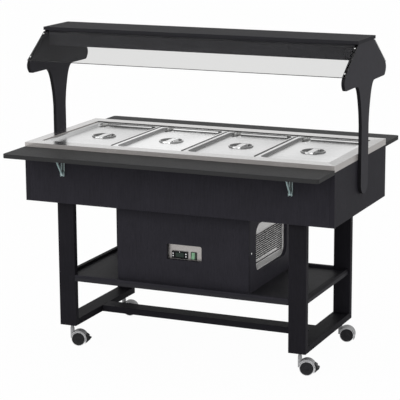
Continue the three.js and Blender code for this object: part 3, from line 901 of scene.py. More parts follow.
PATTERNS = {
    Effect.BOARD_GRAIN: {
        "Streak": Pattern(210, 3, 0.6, 0.32, 0.7),
        "Fibre": Pattern(900, 2, 0.6, 0.3, 0.7),
        "Pores": Pattern(620, 1, 0.4, 0.62, 0.74),
    },
    Effect.BRUSHING: {
        "Lines": Pattern(1600, 3, 0.7, 0.25, 0.75),
        "Bands": Pattern(120, 2, 0.5, 0.3, 0.7),
    },
    Effect.MOULDED_SKIN: {
        "Pebble": Pattern(1500, 2, 0.6, 0.3, 0.7),
        "Cloud": Pattern(40, 2, 0.5, 0.3, 0.7),
    },
    Effect.HANDLING: {
        "Wipe": Pattern(9, 4, 0.65, 0.42, 0.68),
        "Speck": Pattern(330, 1, 0.3, 0.7, 0.78),
    },
}


def shade(colour: Colour, factor: float = 1) -> tuple[float, float, float, float]:
    """Returns a colour made lighter or darker, with a full alpha."""
    return (colour[0] * factor, colour[1] * factor, colour[2] * factor, 1.0)


@dataclass(frozen=True)
class Finish:
    """A named surface; its material is built at first use."""

    name: str

    def material(self) -> bpy.types.Material:
        """Returns the finish's material, made once and then shared.

        Returns:
            The material.
        """
        name = f"{self.name}_finish"
        known = bpy.data.materials.get(name)
        if known:
            return known
        material = bpy.data.materials.new(name)
        material.use_nodes = True
        bench = NodeBench(material.node_tree)
        bench.fill(material.node_tree.nodes["Principled BSDF"], self.paint(bench))
        return material

    def paint(self, bench: NodeBench) -> dict[str, object]:
        """Returns what feeds the shader; each kind of finish has its own way."""
        raise NotImplementedError


@dataclass(frozen=True)
class Laminate(Finish):
    """Charcoal board laminate with a pressed wood grain and plain banded edges."""

    colour: Colour = (0.0248, 0.0236, 0.0298)
    grain: Axis = Axis.Z
    contrast: float = 0.3
    gloss: float = 0.1
    edge: float = 1.12
    squeeze: float = 0.07
    streaks: float = 0.55
    fibres: float = 0.3
    wear: float = 0.12
    worn_tone: float = 1.9
    pores: float = 0.5
    pore_tone: float = 0.45
    rough: Pair = (0.5, 0.62)
    relief: float = 0.06 * MM

    def paint(self, bench: NodeBench) -> dict[str, object]:
        """Grain in colour, roughness and height; none on the edge band.

        Args:
            bench: Where its nodes are added.

        Returns:
            What feeds the shader, by input.
        """
        grain = bench.effect(Effect.BOARD_GRAIN, self.grain, self.squeeze)
        wipe = bench.effect(Effect.HANDLING)["Wipe"]
        band, fibre = bench.attribute("edge_band"), grain["Fibre"]
        tone = bench.math(
            "MULTIPLY_ADD", grain["Streak"], self.streaks, bench.times(fibre, self.fibres)
        )
        dark, light = (shade(self.colour, 1 + sign * self.contrast) for sign in (-1, 1))
        worn, pored, edge = (
            shade(self.colour, factor) for factor in (self.worn_tone, self.pore_tone, self.edge)
        )
        face = bench.mix(bench.times(wipe, self.wear), bench.mix(tone, dark, light), worn)
        face = bench.mix(bench.times(grain["Pores"], self.pores), face, pored)
        height = bench.times(fibre, bench.math("SUBTRACT", 1.0, band))
        return {
            "Base Color": bench.mix(band, face, edge),
            "Roughness": bench.spread(fibre, 0, 1, *self.rough),
            "Normal": bench.bump(height, self.relief, 0.6),
            "Specular IOR Level": self.gloss,
        }


@dataclass(frozen=True)
class Steel(Finish):
    """Brushed sheet steel."""

    colour: Colour
    brushed: Axis = Axis.X
    rough: float = 0.22
    relief: float = 0.01 * MM
    contrast: float = 0.07
    metal: float = 1.0
    squeeze: float = 0.02
    line_share: float = 0.2
    # Painted sheen: how much a slow noise lightens the colour, its scale and its range.
    sheen: float = 0.6
    sheen_scale: float = 3.4
    sheen_range: Pair = (0.36, 0.64)
    rough_range: Pair = (-0.04, 0.06)
    wear: float = 0.06
    # Colour and lost metal of the painted reflection on marked faces.
    painted_reflection_colour: Colour = (0.6, 0.57, 0.55)
    painted_reflection_loss: float = 0.45
    # Tone, lost metal and roughness of the painted shade on marked faces.
    painted_shade_tone: float = 0.14
    painted_shade_loss: float = 0.6
    painted_shade_rough: float = 0.35

    def paint(self, bench: NodeBench) -> dict[str, object]:
        """Fine lines, a painted slow sheen, wipe marks; a painted reflection and painted shade on
        marked faces.

        Args:
            bench: Where its nodes are added.

        Returns:
            What feeds the shader, by input.
        """
        brushing = bench.effect(Effect.BRUSHING, self.brushed, self.squeeze)
        lines, wipe = brushing["Lines"], bench.effect(Effect.HANDLING)["Wipe"]
        painted_reflection, painted_shade = bench.attribute("painted_reflection"), bench.attribute("painted_shade")
        # Painted sheen: a slow noise lightens and darkens the colour, in place of broad
        # reflections.
        cloud = bench.noise(bench.object_place((1, 0.5, 1)), self.sheen_scale, 1)
        tone = bench.math(
            "ADD", bench.times(lines, self.line_share),
            bench.times(brushing["Bands"], self.line_share),
        )
        tone = bench.math("ADD", tone, bench.spread(cloud, *self.sheen_range, 0, self.sheen))
        dark, light = (shade(self.colour, 1 + sign * self.contrast) for sign in (-1, 1))
        # Painted reflection: marked faces get a duller brownish colour and less metal, in place of
        # what they reflect.
        base = bench.mix(painted_reflection, bench.mix(tone, dark, light), shade(self.painted_reflection_colour))
        metal = bench.math("SUBTRACT", self.metal, bench.times(painted_reflection, self.painted_reflection_loss))
        # Painted shade: marked faces get a dark colour, less metal and more roughness.
        hidden = bench.times(painted_shade, self.metal * self.painted_shade_loss)
        rough = bench.spread(lines, 0, 1, *(self.rough + change for change in self.rough_range))
        dull = bench.math(
            "ADD", bench.times(wipe, self.wear), bench.times(painted_shade, self.painted_shade_rough)
        )
        return {
            "Base Color": bench.mix(painted_shade, base, shade(self.colour, self.painted_shade_tone)),
            "Metallic": bench.math("SUBTRACT", metal, hidden),
            "Roughness": bench.math("ADD", rough, dull),
            "Normal": bench.bump(lines, self.relief),
        }


@dataclass(frozen=True)
class Moulded(Finish):
    """Moulded plastic with a fine texture."""

    colour: Colour
    rough: float = 0.5
    relief: float = 0.03 * MM
    gloss: float = 0.4
    cloud: float = 0.12
    scuffs: float = 0.25
    scuff_tone: float = 1.5
    # How dark the painted shade on marked faces is.
    painted_shade_tone: float = 0.08
    rough_range: Pair = (-0.05, 0.08)

    def paint(self, bench: NodeBench) -> dict[str, object]:
        """Texture in height, slow changes in colour and roughness, painted shade on marked faces.

        Args:
            bench: Where its nodes are added.

        Returns:
            What feeds the shader, by input.
        """
        skin = bench.effect(Effect.MOULDED_SKIN)
        speck = bench.effect(Effect.HANDLING)["Speck"]
        dark, light = (shade(self.colour, 1 + sign * self.cloud) for sign in (-1, 1))
        scuffed, hidden = (
            shade(self.colour, factor) for factor in (self.scuff_tone, self.painted_shade_tone)
        )
        base = bench.mix(skin["Cloud"], dark, light)
        base = bench.mix(bench.times(speck, self.scuffs), base, scuffed)
        rough = (self.rough + change for change in self.rough_range)
        # Painted shade: marked faces are darkened.
        return {
            "Base Color": bench.mix(bench.attribute("painted_shade"), base, hidden),
            "Roughness": bench.spread(skin["Pebble"], 0, 1, *rough),
            "Normal": bench.bump(skin["Pebble"], self.relief),
            "Specular IOR Level": self.gloss,
        }


@dataclass(frozen=True)
class Acrylic(Finish):
    """Clear acrylic sheet with a faint grey tint and darker cut edges."""

    colour: Colour = (0.745, 0.745, 0.74)
    bending: float = 1.14
    rough: Pair = (0.005, 0.02)
    speck_tone: float = 0.9
    edge: float = 0.15

    def paint(self, bench: NodeBench) -> dict[str, object]:
        """Clear, with faint wipe marks in roughness.

        Args:
            bench: Where its nodes are added.

        Returns:
            What feeds the shader, by input.
        """
        handled = bench.effect(Effect.HANDLING)
        speck = shade(self.colour, self.speck_tone)
        base = bench.mix(handled["Speck"], shade(self.colour), speck)
        cut = bench.attribute("edge_band")
        return {
            "Base Color": bench.mix(cut, base, shade(self.colour, self.edge)),
            "Roughness": bench.spread(handled["Wipe"], 0, 1, *self.rough),
            "Transmission Weight": 1.0,
            "IOR": self.bending,
        }


BODY = Laminate("charcoal_board_upright", contrast=0.2, gloss=0.06)
# Painted shade: the two end panels get a darker copy of the board, for how the lamps light them.
BODY_END_PAINTED_SHADE = replace(BODY, name="charcoal_board_end", colour=(0.0195, 0.0185, 0.0235))
# Painted light: the housing's right board gets a lighter copy of the board, in place of the shade
# under the body.
BODY_PAINTED_LIGHT = replace(BODY, name="charcoal_board_shaded", colour=(0.042, 0.04, 0.05))
BODY_LEVEL = Laminate("charcoal_board_level", grain=Axis.X)
LEG = Laminate("leg_board", colour=(0.0135, 0.0127, 0.016), contrast=0.25, gloss=0.06)
LEG_LONG = Laminate(
    "rail_board_long", colour=(0.0165, 0.0157, 0.0195), grain=Axis.X, contrast=0.25, gloss=0.05
)
# Painted shade: the foot rails and the shelf's side rims get a darker copy of the rail board.
LEG_DEEP_PAINTED_SHADE = Laminate(
    "rail_board_deep", colour=(0.01, 0.0095, 0.012), grain=Axis.Y, contrast=0.25, gloss=0.05
)
SHELF = Laminate("shelf_board", colour=(0.0225, 0.0219, 0.0257), grain=Axis.X, contrast=0.25)
SHELF_RIM = replace(LEG_LONG, name="shelf_rim_board", colour=(0.026, 0.025, 0.031))
SLIDE = Laminate(
    "tray_slide_board", colour=(0.033, 0.033, 0.034), grain=Axis.X, contrast=0.15, edge=0.95
)
# Painted shade: the rear tray slide gets a darker copy of the slide board.
SLIDE_REAR_PAINTED_SHADE = replace(SLIDE, name="tray_slide_board_rear", colour=(0.02, 0.02, 0.0207))
SUPPORT = Laminate("support_board", colour=(0.027, 0.0262, 0.032), contrast=0.2, edge=0.3)
# Painted shade: the canopy's top board gets a darker copy of the board than the fascias, for how
# light falls on it.
CANOPY_TOP_PAINTED_SHADE = Laminate(
    "canopy_board_level", colour=(0.021, 0.0207, 0.0235), grain=Axis.X, gloss=0.03, edge=1.25
)
# Painted light: the fascias get a lighter copy of the canopy board.
FASCIA_PAINTED_LIGHT = Laminate(
    "fascia_board", colour=(0.051, 0.0505, 0.0565), grain=Axis.X, contrast=0.2, gloss=0.03
)
WORKTOP_STEEL = Steel("worktop_steel", (0.61, 0.602, 0.595), rough=0.2)
# Painted reflection: each lid gets its own steel tone, in place of the different light that it
# reflects.
LID_STEELS_PAINTED_REFLECTION = tuple(
    Steel(f"lid_steel_{number}", (tone,) * 3, rough=0.2, contrast=0.2)
    for number, tone in enumerate((0.74, 0.98, 0.74, 0.76), 1)
)
PAN_STEEL = Steel("pan_steel", (0.66, 0.66, 0.65), rough=0.3)
PLATE_STEEL = Steel("plate_steel", (0.5, 0.475, 0.46), rough=0.35)
# Painted light: the grille's steel is nearly white and little metallic, in place of the light it
# reflects in the shade under the body.
GRILLE_STEEL = Steel("grille_steel", (0.98, 0.97, 0.96), Axis.Y, rough=0.35, metal=0.35)
ZINC = Steel("zinc_plate", (0.55, 0.68, 0.68), Axis.Z, rough=0.32, metal=0.6)
# Painted highlight: the screw heads are plain white and little metallic, so that they show as
# bright glints.
SCREW_STEEL = Steel("screw_steel", (1.0, 1.0, 1.0), Axis.Z, rough=0.3, metal=0.3)
BLACK_PAINT = Moulded("compressor_paint", (0.012, 0.012, 0.013), rough=0.4)
CLEAR = Acrylic("clear_screen")
HOOD = Moulded("caster_hood_grey", (0.62, 0.62, 0.63), rough=0.42)
WHEEL = Moulded("wheel_black", (0.006, 0.006, 0.0078), rough=0.55)
TYRE = Moulded("tyre_grey", (0.7, 0.7, 0.71), rough=0.6)
PEDAL = Moulded("pedal_black", (0.012, 0.012, 0.013), rough=0.45)
CASE = Moulded("thermostat_black", (0.004, 0.0045, 0.0045), rough=0.3, gloss=0.15)
DISPLAY = Moulded("display_dark", (0.006, 0.02, 0.012), rough=0.12, relief=0.005 * MM)
KEYS = Moulded("key_grey", (0.02, 0.02, 0.022), rough=0.4)
MARK = Moulded("mark_white", (1.0, 1.0, 1.0), rough=0.5)
GREEN = Moulded("rocker_green", (0.2, 0.4, 0.24), rough=0.22)
FRAME_BLACK = Moulded("switch_frame_black", (0.01, 0.012, 0.011), rough=0.35)
HINGE = Moulded("hinge_black", (0.012, 0.012, 0.012), rough=0.35)


@dataclass
class Studio:
    """Camera, floor and light."""

    azimuth: float = 23.93
    elevation: float = 12.43
    roll: float = -0.35
    lens: float = 150.13
    sensor: float = 36.0
    reach: float = 200.0
    place: Point = (2.8478, -6.4825, 2.2059)
    floor_size: float = 80.0
    floor_tone: float = 0.78
    floor_rough: float = 0.9
    floor_gloss: float = 0.1
    floor_glow: float = 0.975
    sky: float = 0.8
    horizon: float = 0.95
    sky_range: Pair = (0.0, 0.8)
    lit_point: Point = (0, 0, 0.7)
    lamps: tuple[tuple[str, Point, float, float], ...] = (
        ("key", (0.7, -5.0, 3.2), 2.6, 50), ("fill", (-3.6, -2.6, 3.0), 3.0, 15),
    )

    def build(self) -> None:
        """Builds the camera, the floor, the surrounding light and the lamps."""
        self.camera()
        self.floor()
        self.surroundings()
        for lamp in self.lamps:
            self.lamp(*lamp)
        bpy.context.scene.view_settings.view_transform = "Standard"

    def camera(self) -> None:
        """Places the camera at the photograph's viewing angle."""
        azimuth, elevation, roll = map(math.radians, (self.azimuth, self.elevation, self.roll))
        back = Vector((
            math.sin(azimuth) * math.cos(elevation),
            -math.cos(azimuth) * math.cos(elevation),
            math.sin(elevation),
        ))
        right = Vector((0, 0, 1)).cross(back).normalized()
        up = back.cross(right)
        right, up = (
            right * math.cos(roll) + up * math.sin(roll),
            up * math.cos(roll) - right * math.sin(roll),
        )
        bpy.ops.object.camera_add()
        camera = bpy.context.active_object
        camera.name = "camera"
        turn = Matrix((right, up, back)).transposed().to_4x4()
        camera.matrix_world = Matrix.Translation(self.place) @ turn
        camera.data.sensor_width = self.sensor
        camera.data.lens = self.lens
        camera.data.clip_end = self.reach
        bpy.context.scene.camera = camera

    def floor(self) -> None:
        """Lays the plain pale floor."""
        floor = Workpiece.start("floor", bpy.ops.mesh.primitive_plane_add, size=self.floor_size)
        material = bpy.data.materials.new("pale_floor")
        material.use_nodes = True
        nodes, bench = material.node_tree.nodes, NodeBench(material.node_tree)
        shader = bench.fill(nodes["Principled BSDF"], {
            "Base Color": (*[self.floor_tone] * 3, 1),
            "Roughness": self.floor_rough,
            "Specular IOR Level": self.floor_gloss,
        })
        glow = bench.fill(bench.add("ShaderNodeEmission"), {"Strength": 1.0})
        mix = bench.add("ShaderNodeMixShader")
        share = bench.times(self.looked_at(bench), self.floor_glow)
        for index, value in enumerate((share, shader.outputs["BSDF"], glow.outputs["Emission"])):
            bench.feed(mix.inputs[index], value)
        bench.fill(nodes["Material Output"], {"Surface": mix.outputs[0]})
        floor.obj.data.materials.append(material)

    def surroundings(self) -> None:
        """Lights the scene from all round, a little brighter at the horizon."""
        world = bpy.data.worlds.new("studio")
        bpy.context.scene.world = world
        world.use_nodes = True
        bench = NodeBench(world.node_tree)
        split = bench.add("ShaderNodeSeparateXYZ")
        bench.feed(split.inputs[0], bench.add("ShaderNodeTexCoord").outputs["Generated"])
        level = bench.spread(split.outputs["Z"], *self.sky_range, self.horizon, self.sky)
        bench.fill(world.node_tree.nodes["Background"], {
            "Color": (1, 1, 1, 1),
            "Strength": bench.math("MAXIMUM", level, self.looked_at(bench)),
        })

    @staticmethod
    def looked_at(bench: NodeBench) -> Socket:
        """Returns 1 where the camera looks straight or through a clear pane, and else 0."""
        path = bench.add("ShaderNodeLightPath").outputs
        return bench.math("MAXIMUM", path["Is Camera Ray"], path["Is Transmission Ray"])

    def lamp(self, name: str, place: Point, size: float, power: float) -> None:
        """Hangs a soft square lamp that faces the middle of the trolley.

        Args:
            name: The lamp's name.
            place: Where it hangs.
            size: The length of its side.
            power: Its power in watts.
        """
        bpy.ops.object.light_add(type="AREA", location=place)
        lamp = bpy.context.active_object
        lamp.name = name
        lamp.data.size = size
        lamp.data.energy = power
        aim = Vector(self.lit_point) - Vector(place)
        lamp.rotation_mode = "QUATERNION"
        lamp.rotation_quaternion = aim.to_track_quat("-Z", "Y")


def lay_board(node: str, finish: Finish, slot: str, edge: float = 0.8 * MM) -> None:
    """Builds a plain board in the place of its frame node, with banded, rounded edges.

    Args:
        node: The frame node that it stands for.
        finish: Its finish.
        slot: Its material slot.
        edge: The width of its rounded edges.
    """
    low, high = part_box(node)
    size = high - low
    thin = Axis(min(range(3), key=lambda index: size[index]))
    board = Workpiece.block(f"{node}_board", low, high).soften(edge).band(thin)
    board.fit(FIXED, finish, slot, [node])


@dataclass
class Boards:
    """Plain boards of the body and underframe."""

    body: tuple[tuple[str, Finish], ...] = (
        ("front_apron", BODY), ("rear_apron", BODY), ("left_end_panel", BODY_END_PAINTED_SHADE),
        ("right_end_panel", BODY_END_PAINTED_SHADE), ("body_floor", BODY_LEVEL), ("housing_left", BODY),
    )
    rails: tuple[tuple[str, Finish], ...] = (
        ("foot_rail_left", LEG_DEEP_PAINTED_SHADE), ("foot_rail_right", LEG_DEEP_PAINTED_SHADE), ("stretcher", LEG_LONG),
    )

    def build(self) -> None:
        """Builds the boards of the body, the legs and the rails."""
        for node, finish in self.body:
            lay_board(node, finish, "body_board")
        for end in ENDS:
            for side in SIDES:
                lay_board(f"leg_{end}_{side}", LEG, "frame_board")
        for node, finish in self.rails:
            lay_board(node, finish, "frame_board")


@dataclass
class Worktop:
    """Stainless worktop: turned-down edge, sunk ledge and cold tub, in one sheet."""

    half_length: float = 705 * MM
    half_depth: float = 332 * MM
    outer_corner: float = 2 * MM
    top: float = 909 * MM
    edge_drop: float = 26.7 * MM
    opening_half_length: float = 658.3 * MM
    opening_half_depth: float = 268 * MM
    opening_corner: float = 7 * MM
    ledge_drop: float = 7.1 * MM
    ledge_width: float = 14 * MM
    tub_corner: float = 14 * MM
    tub_floor: float = 740 * MM
    tub_bend: tuple[Point, ...] = (
        (0, 14 * MM, 9 * MM), (2.6 * MM, 13 * MM, 2.6 * MM), (9 * MM, 9 * MM, 0),
    )
    sheet: float = 2 * MM
    # Where the painted shade on the top's right end starts, and how dark the painted shade is there
    # and on the right turned-down edge.
    lit_end: float = 600 * MM
    skirt_shade: float = 0.3
    end_shade: float = 0.2

    def build(self) -> None:
        """Builds the worktop."""
        length, depth = self.opening_half_length, self.opening_half_depth
        ledge = self.top - self.ledge_drop
        inner_x, inner_y = length - self.ledge_width, depth - self.ledge_width
        rings = [
            (rounded(self.half_length, self.half_depth, self.outer_corner), self.top),
            (rounded(length, depth, self.opening_corner), self.top),
            (rounded(length, depth, self.opening_corner), ledge),
            (rounded(inner_x, inner_y, self.tub_corner), ledge),
        ]
        for inset, corner, rise in self.tub_bend:
            bottom = rounded(inner_x - inset, inner_y - inset, corner)
            rings.append((bottom, self.tub_floor + rise))
        sheet = Workpiece.stepped("worktop_sheet", rings)
        sheet.edges(lambda a, b: self.on_border(a) and self.on_border(b))
        sheet.drop_edges((0, 0, -self.edge_drop)).done()
        sheet.thicken(self.sheet).soften(1.4 * MM, 3, 60)
        # Painted reflection on the turned-down edge and the ledge's left wall; painted shade on the
        # right turned-down edge, the top's right end and the ledge's rear wall.
        sheet.mark("painted_reflection", self.is_painted_reflection).mark("painted_shade", self.painted_shade_amount)
        sheet.fit(FIXED, WORKTOP_STEEL, "stainless", ["worktop_well"])

    def is_painted_reflection(self, centre: Vector, normal: Vector) -> bool:
        """Tells whether a face gets the painted reflection: the turned-down edge or the ledge's
        left wall.

        Args:
            centre: The face's middle.
            normal: The face's normal.

        Returns:
            Whether it does.
        """
        high = centre.z > self.top - self.ledge_drop - MM
        ledge = high and normal.x > HALFWAY and centre.x < MM - self.opening_half_length
        return abs(normal.z) < HALFWAY and (self.on_border(centre) or ledge)

    def painted_shade_amount(self, centre: Vector, normal: Vector) -> float:
        """Tells how much painted shade a face gets: right turned-down edge, right end of the top,
        ledge's rear wall.

        Args:
            centre: The face's middle.
            normal: The face's normal.

        Returns:
            How much painted shade the face gets.
        """
        if self.on_border(centre):
            return self.skirt_shade * (normal.x > HALFWAY)
        if centre.x > self.lit_end and normal.z > MOSTLY:
            return self.end_shade
        wall = self.top - self.ledge_drop - MM < centre.z < self.top and normal.z < MOSTLY
        return float(wall and normal.y < -LITTLE)

    def on_border(self, point: Vector) -> bool:
        """Tells whether a point lies on the worktop's outer border."""
        edge = self.outer_corner + 0.1 * MM
        return abs(point.x) > self.half_length - edge or abs(point.y) > self.half_depth - edge


@dataclass
class PanSet:
    """Four full-size food pans and their lids."""

    count: int = 4
    pitch: float = 328 * MM
    flange_top: float = 903.7 * MM
    lid_top: float = 905.5 * MM
    sheet: float = 1.5 * MM
    recess: float = 11.5 * MM
    cup_radius: float = 47 * MM
    cup_depth: float = 17 * MM
    cup_floor: float = 10 * MM
    bridge_width: float = 26 * MM
    bridge_rise: float = 2.2 * MM
    notch: Point = (-117.5 * MM, 264 * MM)
    notch_width: float = 30 * MM
    notch_length: float = 52 * MM
    # Bounds and strengths of the painted shade on the lids.
    row_left: Point = (-130 * MM, -143 * MM)
    row_right: float = 140 * MM
    right_line: Point = (153.2 * MM, 240 * MM)
    corner_bend: float = 112 * MM
    left_strip: float = -135 * MM
    end_shade: float = 0.25
    cup_shade: float = 0.85
    wall_shade: float = 0.8
    strip_shade: float = 0.75

    def build(self) -> None:
        """Builds one pan and one lid, and copies them along the row."""
        pan, lid = self.pan(), self.lid()
        for number in range(1, self.count + 1):
            offset = ((number - (self.count + 1) / 2) * self.pitch, 0, 0)
            pan.copy(f"pan_{number}_sheet", offset).fit(
                f"pan_{number}", PAN_STEEL, "pan_steel", [f"gn_pan_{number}"]
            )
            # Painted shade on each lid's left wall, edge lines and cup rim.
            sheet = lid.copy(f"lid_{number}_sheet", offset).mark(
                "painted_shade",
                lambda centre, normal: self.painted_shade_amount(centre - Vector(offset), normal, number),
            )
            # Each lid's steel tone is a painted reflection.
            finish = LID_STEELS_PAINTED_REFLECTION[number - 1]
            sheet.fit(f"lid_{number}", finish, "pan_steel", [f"pan_lid_{number}"])
        Workpiece.discard(pan, lid)

    def pan(self) -> Workpiece:
        """Draws the pan from its flange down to its floor.

        Returns:
            The pan, at the middle of the row.
        """
        steps = (
            (162.5, 265, 16, 0), (150, 250, 29, 0), (148.2, 248.2, 28, 1.8), (146, 246, 28, 86),
            (143, 243, 26, 94), (136, 236, 20, 98.5),
        )
        rings = [
            (rounded(half_x * MM, half_y * MM, corner * MM), self.flange_top - drop * MM)
            for half_x, half_y, corner, drop in steps
        ]
        return Workpiece.stepped("pan", rings).thicken(self.sheet)

    def lid(self) -> Workpiece:
        """Draws the lid: rim, sunk panel, hand cup with its bridge, and spoon notch.

        Returns:
            The lid, at the middle of the row.
        """
        top, low = self.lid_top, self.lid_top - self.recess
        floor = low - self.cup_depth
        rim = (
            (161.5, 264, 16, top), (153.2, 251, 32, top), (147, 247.5, 29, top),
            (145, 245.5, 28, top - 3 * MM), (144.2, 244.7, 28, low + 3.4 * MM),
            (142.4, 242.9, 27, low), (135, 238.5, 22, low),
        )
        cup = ((7, 0), (5, 5), (2, 5), (0, 1), (-3, -6), (-10, -12))
        rings = [
            (rounded(half_x * MM, half_y * MM, corner * MM), level)
            for half_x, half_y, corner, level in rim
        ]
        rings += [(ring(self.cup_radius + wider), low + rise) for wider, rise in metres(cup)]
        rings.append((ring(self.cup_radius - 20 * MM), floor + 1.2 * MM))
        rings.append((ring(self.cup_floor), floor))
        notch_x, edge_y = self.notch
        half, end_y = self.notch_width / 2, edge_y - self.notch_length
        shape = [
            (notch_x - half, edge_y + MM), *arc((notch_x, end_y), half, 180, 360, 14),
            (notch_x + half, edge_y + MM),
        ]
        sheet = Workpiece.stepped("lid", rings).thicken(self.sheet)
        sheet.cut(Workpiece.outline("slot", shape, Axis.Z, low - 3 * MM, top + MM))
        return sheet.soften(0.35 * MM, 1, 55).join(self.bridge(low))

    def painted_shade_amount(self, centre: Vector, normal: Vector, number: int) -> float:
        """Tells how much painted shade a face of the lid gets: left wall, edge lines, cup rim.

        Args:
            centre: The face's middle, from the middle of its lid.
            normal: The face's normal.
            number: The lid's number, because the row's ends stand free in the light.

        Returns:
            How much painted shade the face gets.
        """
        if number == self.count and centre.x > self.row_right:
            return 0
        if number == 1 and centre.x < self.row_left[0]:
            return self.end_shade * (centre.x < self.row_left[1])
        low = self.lid_top - self.recess
        if math.hypot(centre.x, centre.y) < self.cup_radius + 7 * MM:
            clear = abs(centre.x) > self.bridge_width / 2
            return self.cup_shade * (clear and normal.z < MOSTLY and centre.z > low - 3 * MM)
        if centre.z > low + 3.3 * MM:
            wall = normal.z < NEARLY and normal.x > LITTLE
            right_line = centre.x > self.right_line[0] and abs(centre.y) < self.right_line[1]
            corner = centre.x > self.corner_bend and normal.y < -HALFWAY
            back_line = normal.y < -LITTLE and LITTLE < normal.z < NEARLY or corner
            return self.wall_shade if wall else float(right_line or back_line)
        if centre.x < self.left_strip and centre.z > low - MM:
            return self.strip_shade
        return float(normal.z < 0.9 and normal.y < -LITTLE and centre.z > low - MM)

    def bridge(self, level: float) -> Workpiece:
        """Draws the bridge across the cup, slightly arched, with rounded sides.

        Args:
            level: The level of the lid's panel.

        Returns:
            The bridge.
        """
        half, reach = self.bridge_width / 2, self.cup_radius + 1 * MM
        bar = Workpiece.slab(
            "bridge", (0, 0), (half, reach), Axis.Z, level + 0.2 * MM, level + 2.9 * MM
        )
        bar.edges(along(Axis.Y)).bevel(1.1 * MM, 3)
        for side in (-1, 1):
            bar.bisect(side * reach * 0.55, Axis.Y)
        bar.points(lambda point: abs(point.y) < reach * 0.6)
        bpy.ops.transform.translate(value=(0, 0, self.bridge_rise))
        return bar.done()


@dataclass
class TraySlide:
    """Fold-down tray slide: a board with rounded front corners, knuckles under its root."""

    half_length: float = 705 * MM
    root: float = -332.9 * MM
    edge: float = -524.9 * MM
    bottom: float = 873 * MM
    top: float = 891 * MM
    corner: float = 14 * MM
    axis_y: float = -346 * MM
    axis_z: float = 870 * MM
    bracket_x: float = 520 * MM
    barrel_radius: float = 4 * MM
    barrel_half: float = 5 * MM
    hinge_x: tuple[float, ...] = (-620 * MM, 455 * MM)
    hinge_drop: float = 1.5 * MM
    hinge_radius: float = 4.4 * MM
    hinge_half: float = 14.5 * MM

    def build(self) -> None:
        """Builds the front tray slide and turns a copy of it to the rear."""
        board, knuckles, hinges = self.board(), self.knuckles(), self.hinges()
        for (end, turn), finish in zip(ENDS.items(), (SLIDE, SLIDE_REAR_PAINTED_SHADE)):
            body, node = f"{end}_tray_slide", [f"{end}_flap"]
            board.copy(f"{end}_slide_board").turn(turn, Axis.Z).fit(
                body, finish, "tray_slide_board", node
            )
            knuckles.copy(f"{end}_slide_knuckles").turn(turn, Axis.Z).fit(body, ZINC, "zinc_steel")
            hinges.copy(f"{end}_slide_hinges").turn(turn, Axis.Z).fit(body, HINGE, "zinc_steel")
        Workpiece.discard(board, knuckles, hinges)

    def board(self) -> Workpiece:
        """Draws the board.

        Returns:
            The front board.
        """
        x, y, radius = self.half_length, self.edge + self.corner, self.corner
        points = [
            (-x, self.root), *arc((radius - x, y), radius, 180, 270, 8),
            *arc((x - radius, y), radius, 270, 360, 8), (x, self.root),
        ]
        board = Workpiece.outline("slide", points, Axis.Z, self.bottom, self.top)
        return board.soften(1.2 * MM, 2, 60).band(Axis.Z)

    def knuckles(self) -> Workpiece:
        """Draws the barrel and its foot above each bracket.

        Returns:
            The front knuckles, as one piece.
        """
        parts = []
        for x in (-self.bracket_x, self.bracket_x):
            barrel = Workpiece.disc(
                "barrel", (x, self.axis_y, self.axis_z), self.barrel_radius,
                2 * self.barrel_half, Axis.X, 24,
            )
            foot = self.foot("foot", x, self.barrel_half, (-26 * MM, 1 * MM), 1.5 * MM)
            parts += [barrel.soften(), foot.soften(0.4 * MM)]
        return parts[0].join(*parts[1:])

    def hinges(self) -> Workpiece:
        """Draws the two small black hinges under the board's root.

        Returns:
            The front hinges, as one piece.
        """
        parts = []
        for x in self.hinge_x:
            knuckle = Workpiece.disc(
                "knuckle", (x, self.axis_y, self.axis_z - self.hinge_drop), self.hinge_radius,
                2 * self.hinge_half, Axis.X, 24,
            )
            knuckle.edges(lambda a, b: abs((a - b).x) < MM / 1000).bevel(0.8 * MM).done()
            leaf = self.foot("leaf", x, self.hinge_half, (-24 * MM, 2 * MM), 1.8 * MM)
            parts += [knuckle, leaf.soften()]
        return parts[0].join(*parts[1:])

    def foot(self, name: str, x: float, half: float, span: Pair, thick: float) -> Workpiece:
        """Draws a plate under the board that carries a knuckle.

        Args:
            name: The plate's name.
            x: Its middle.
            half: Half its width.
            span: Where it starts and ends, from the hinge's axis.
            thick: Its thickness.

        Returns:
            The plate.
        """
        low = (x - half, self.axis_y + span[0], self.bottom - thick)
        return Workpiece.block(name, low, (x + half, self.axis_y + span[1], self.bottom))


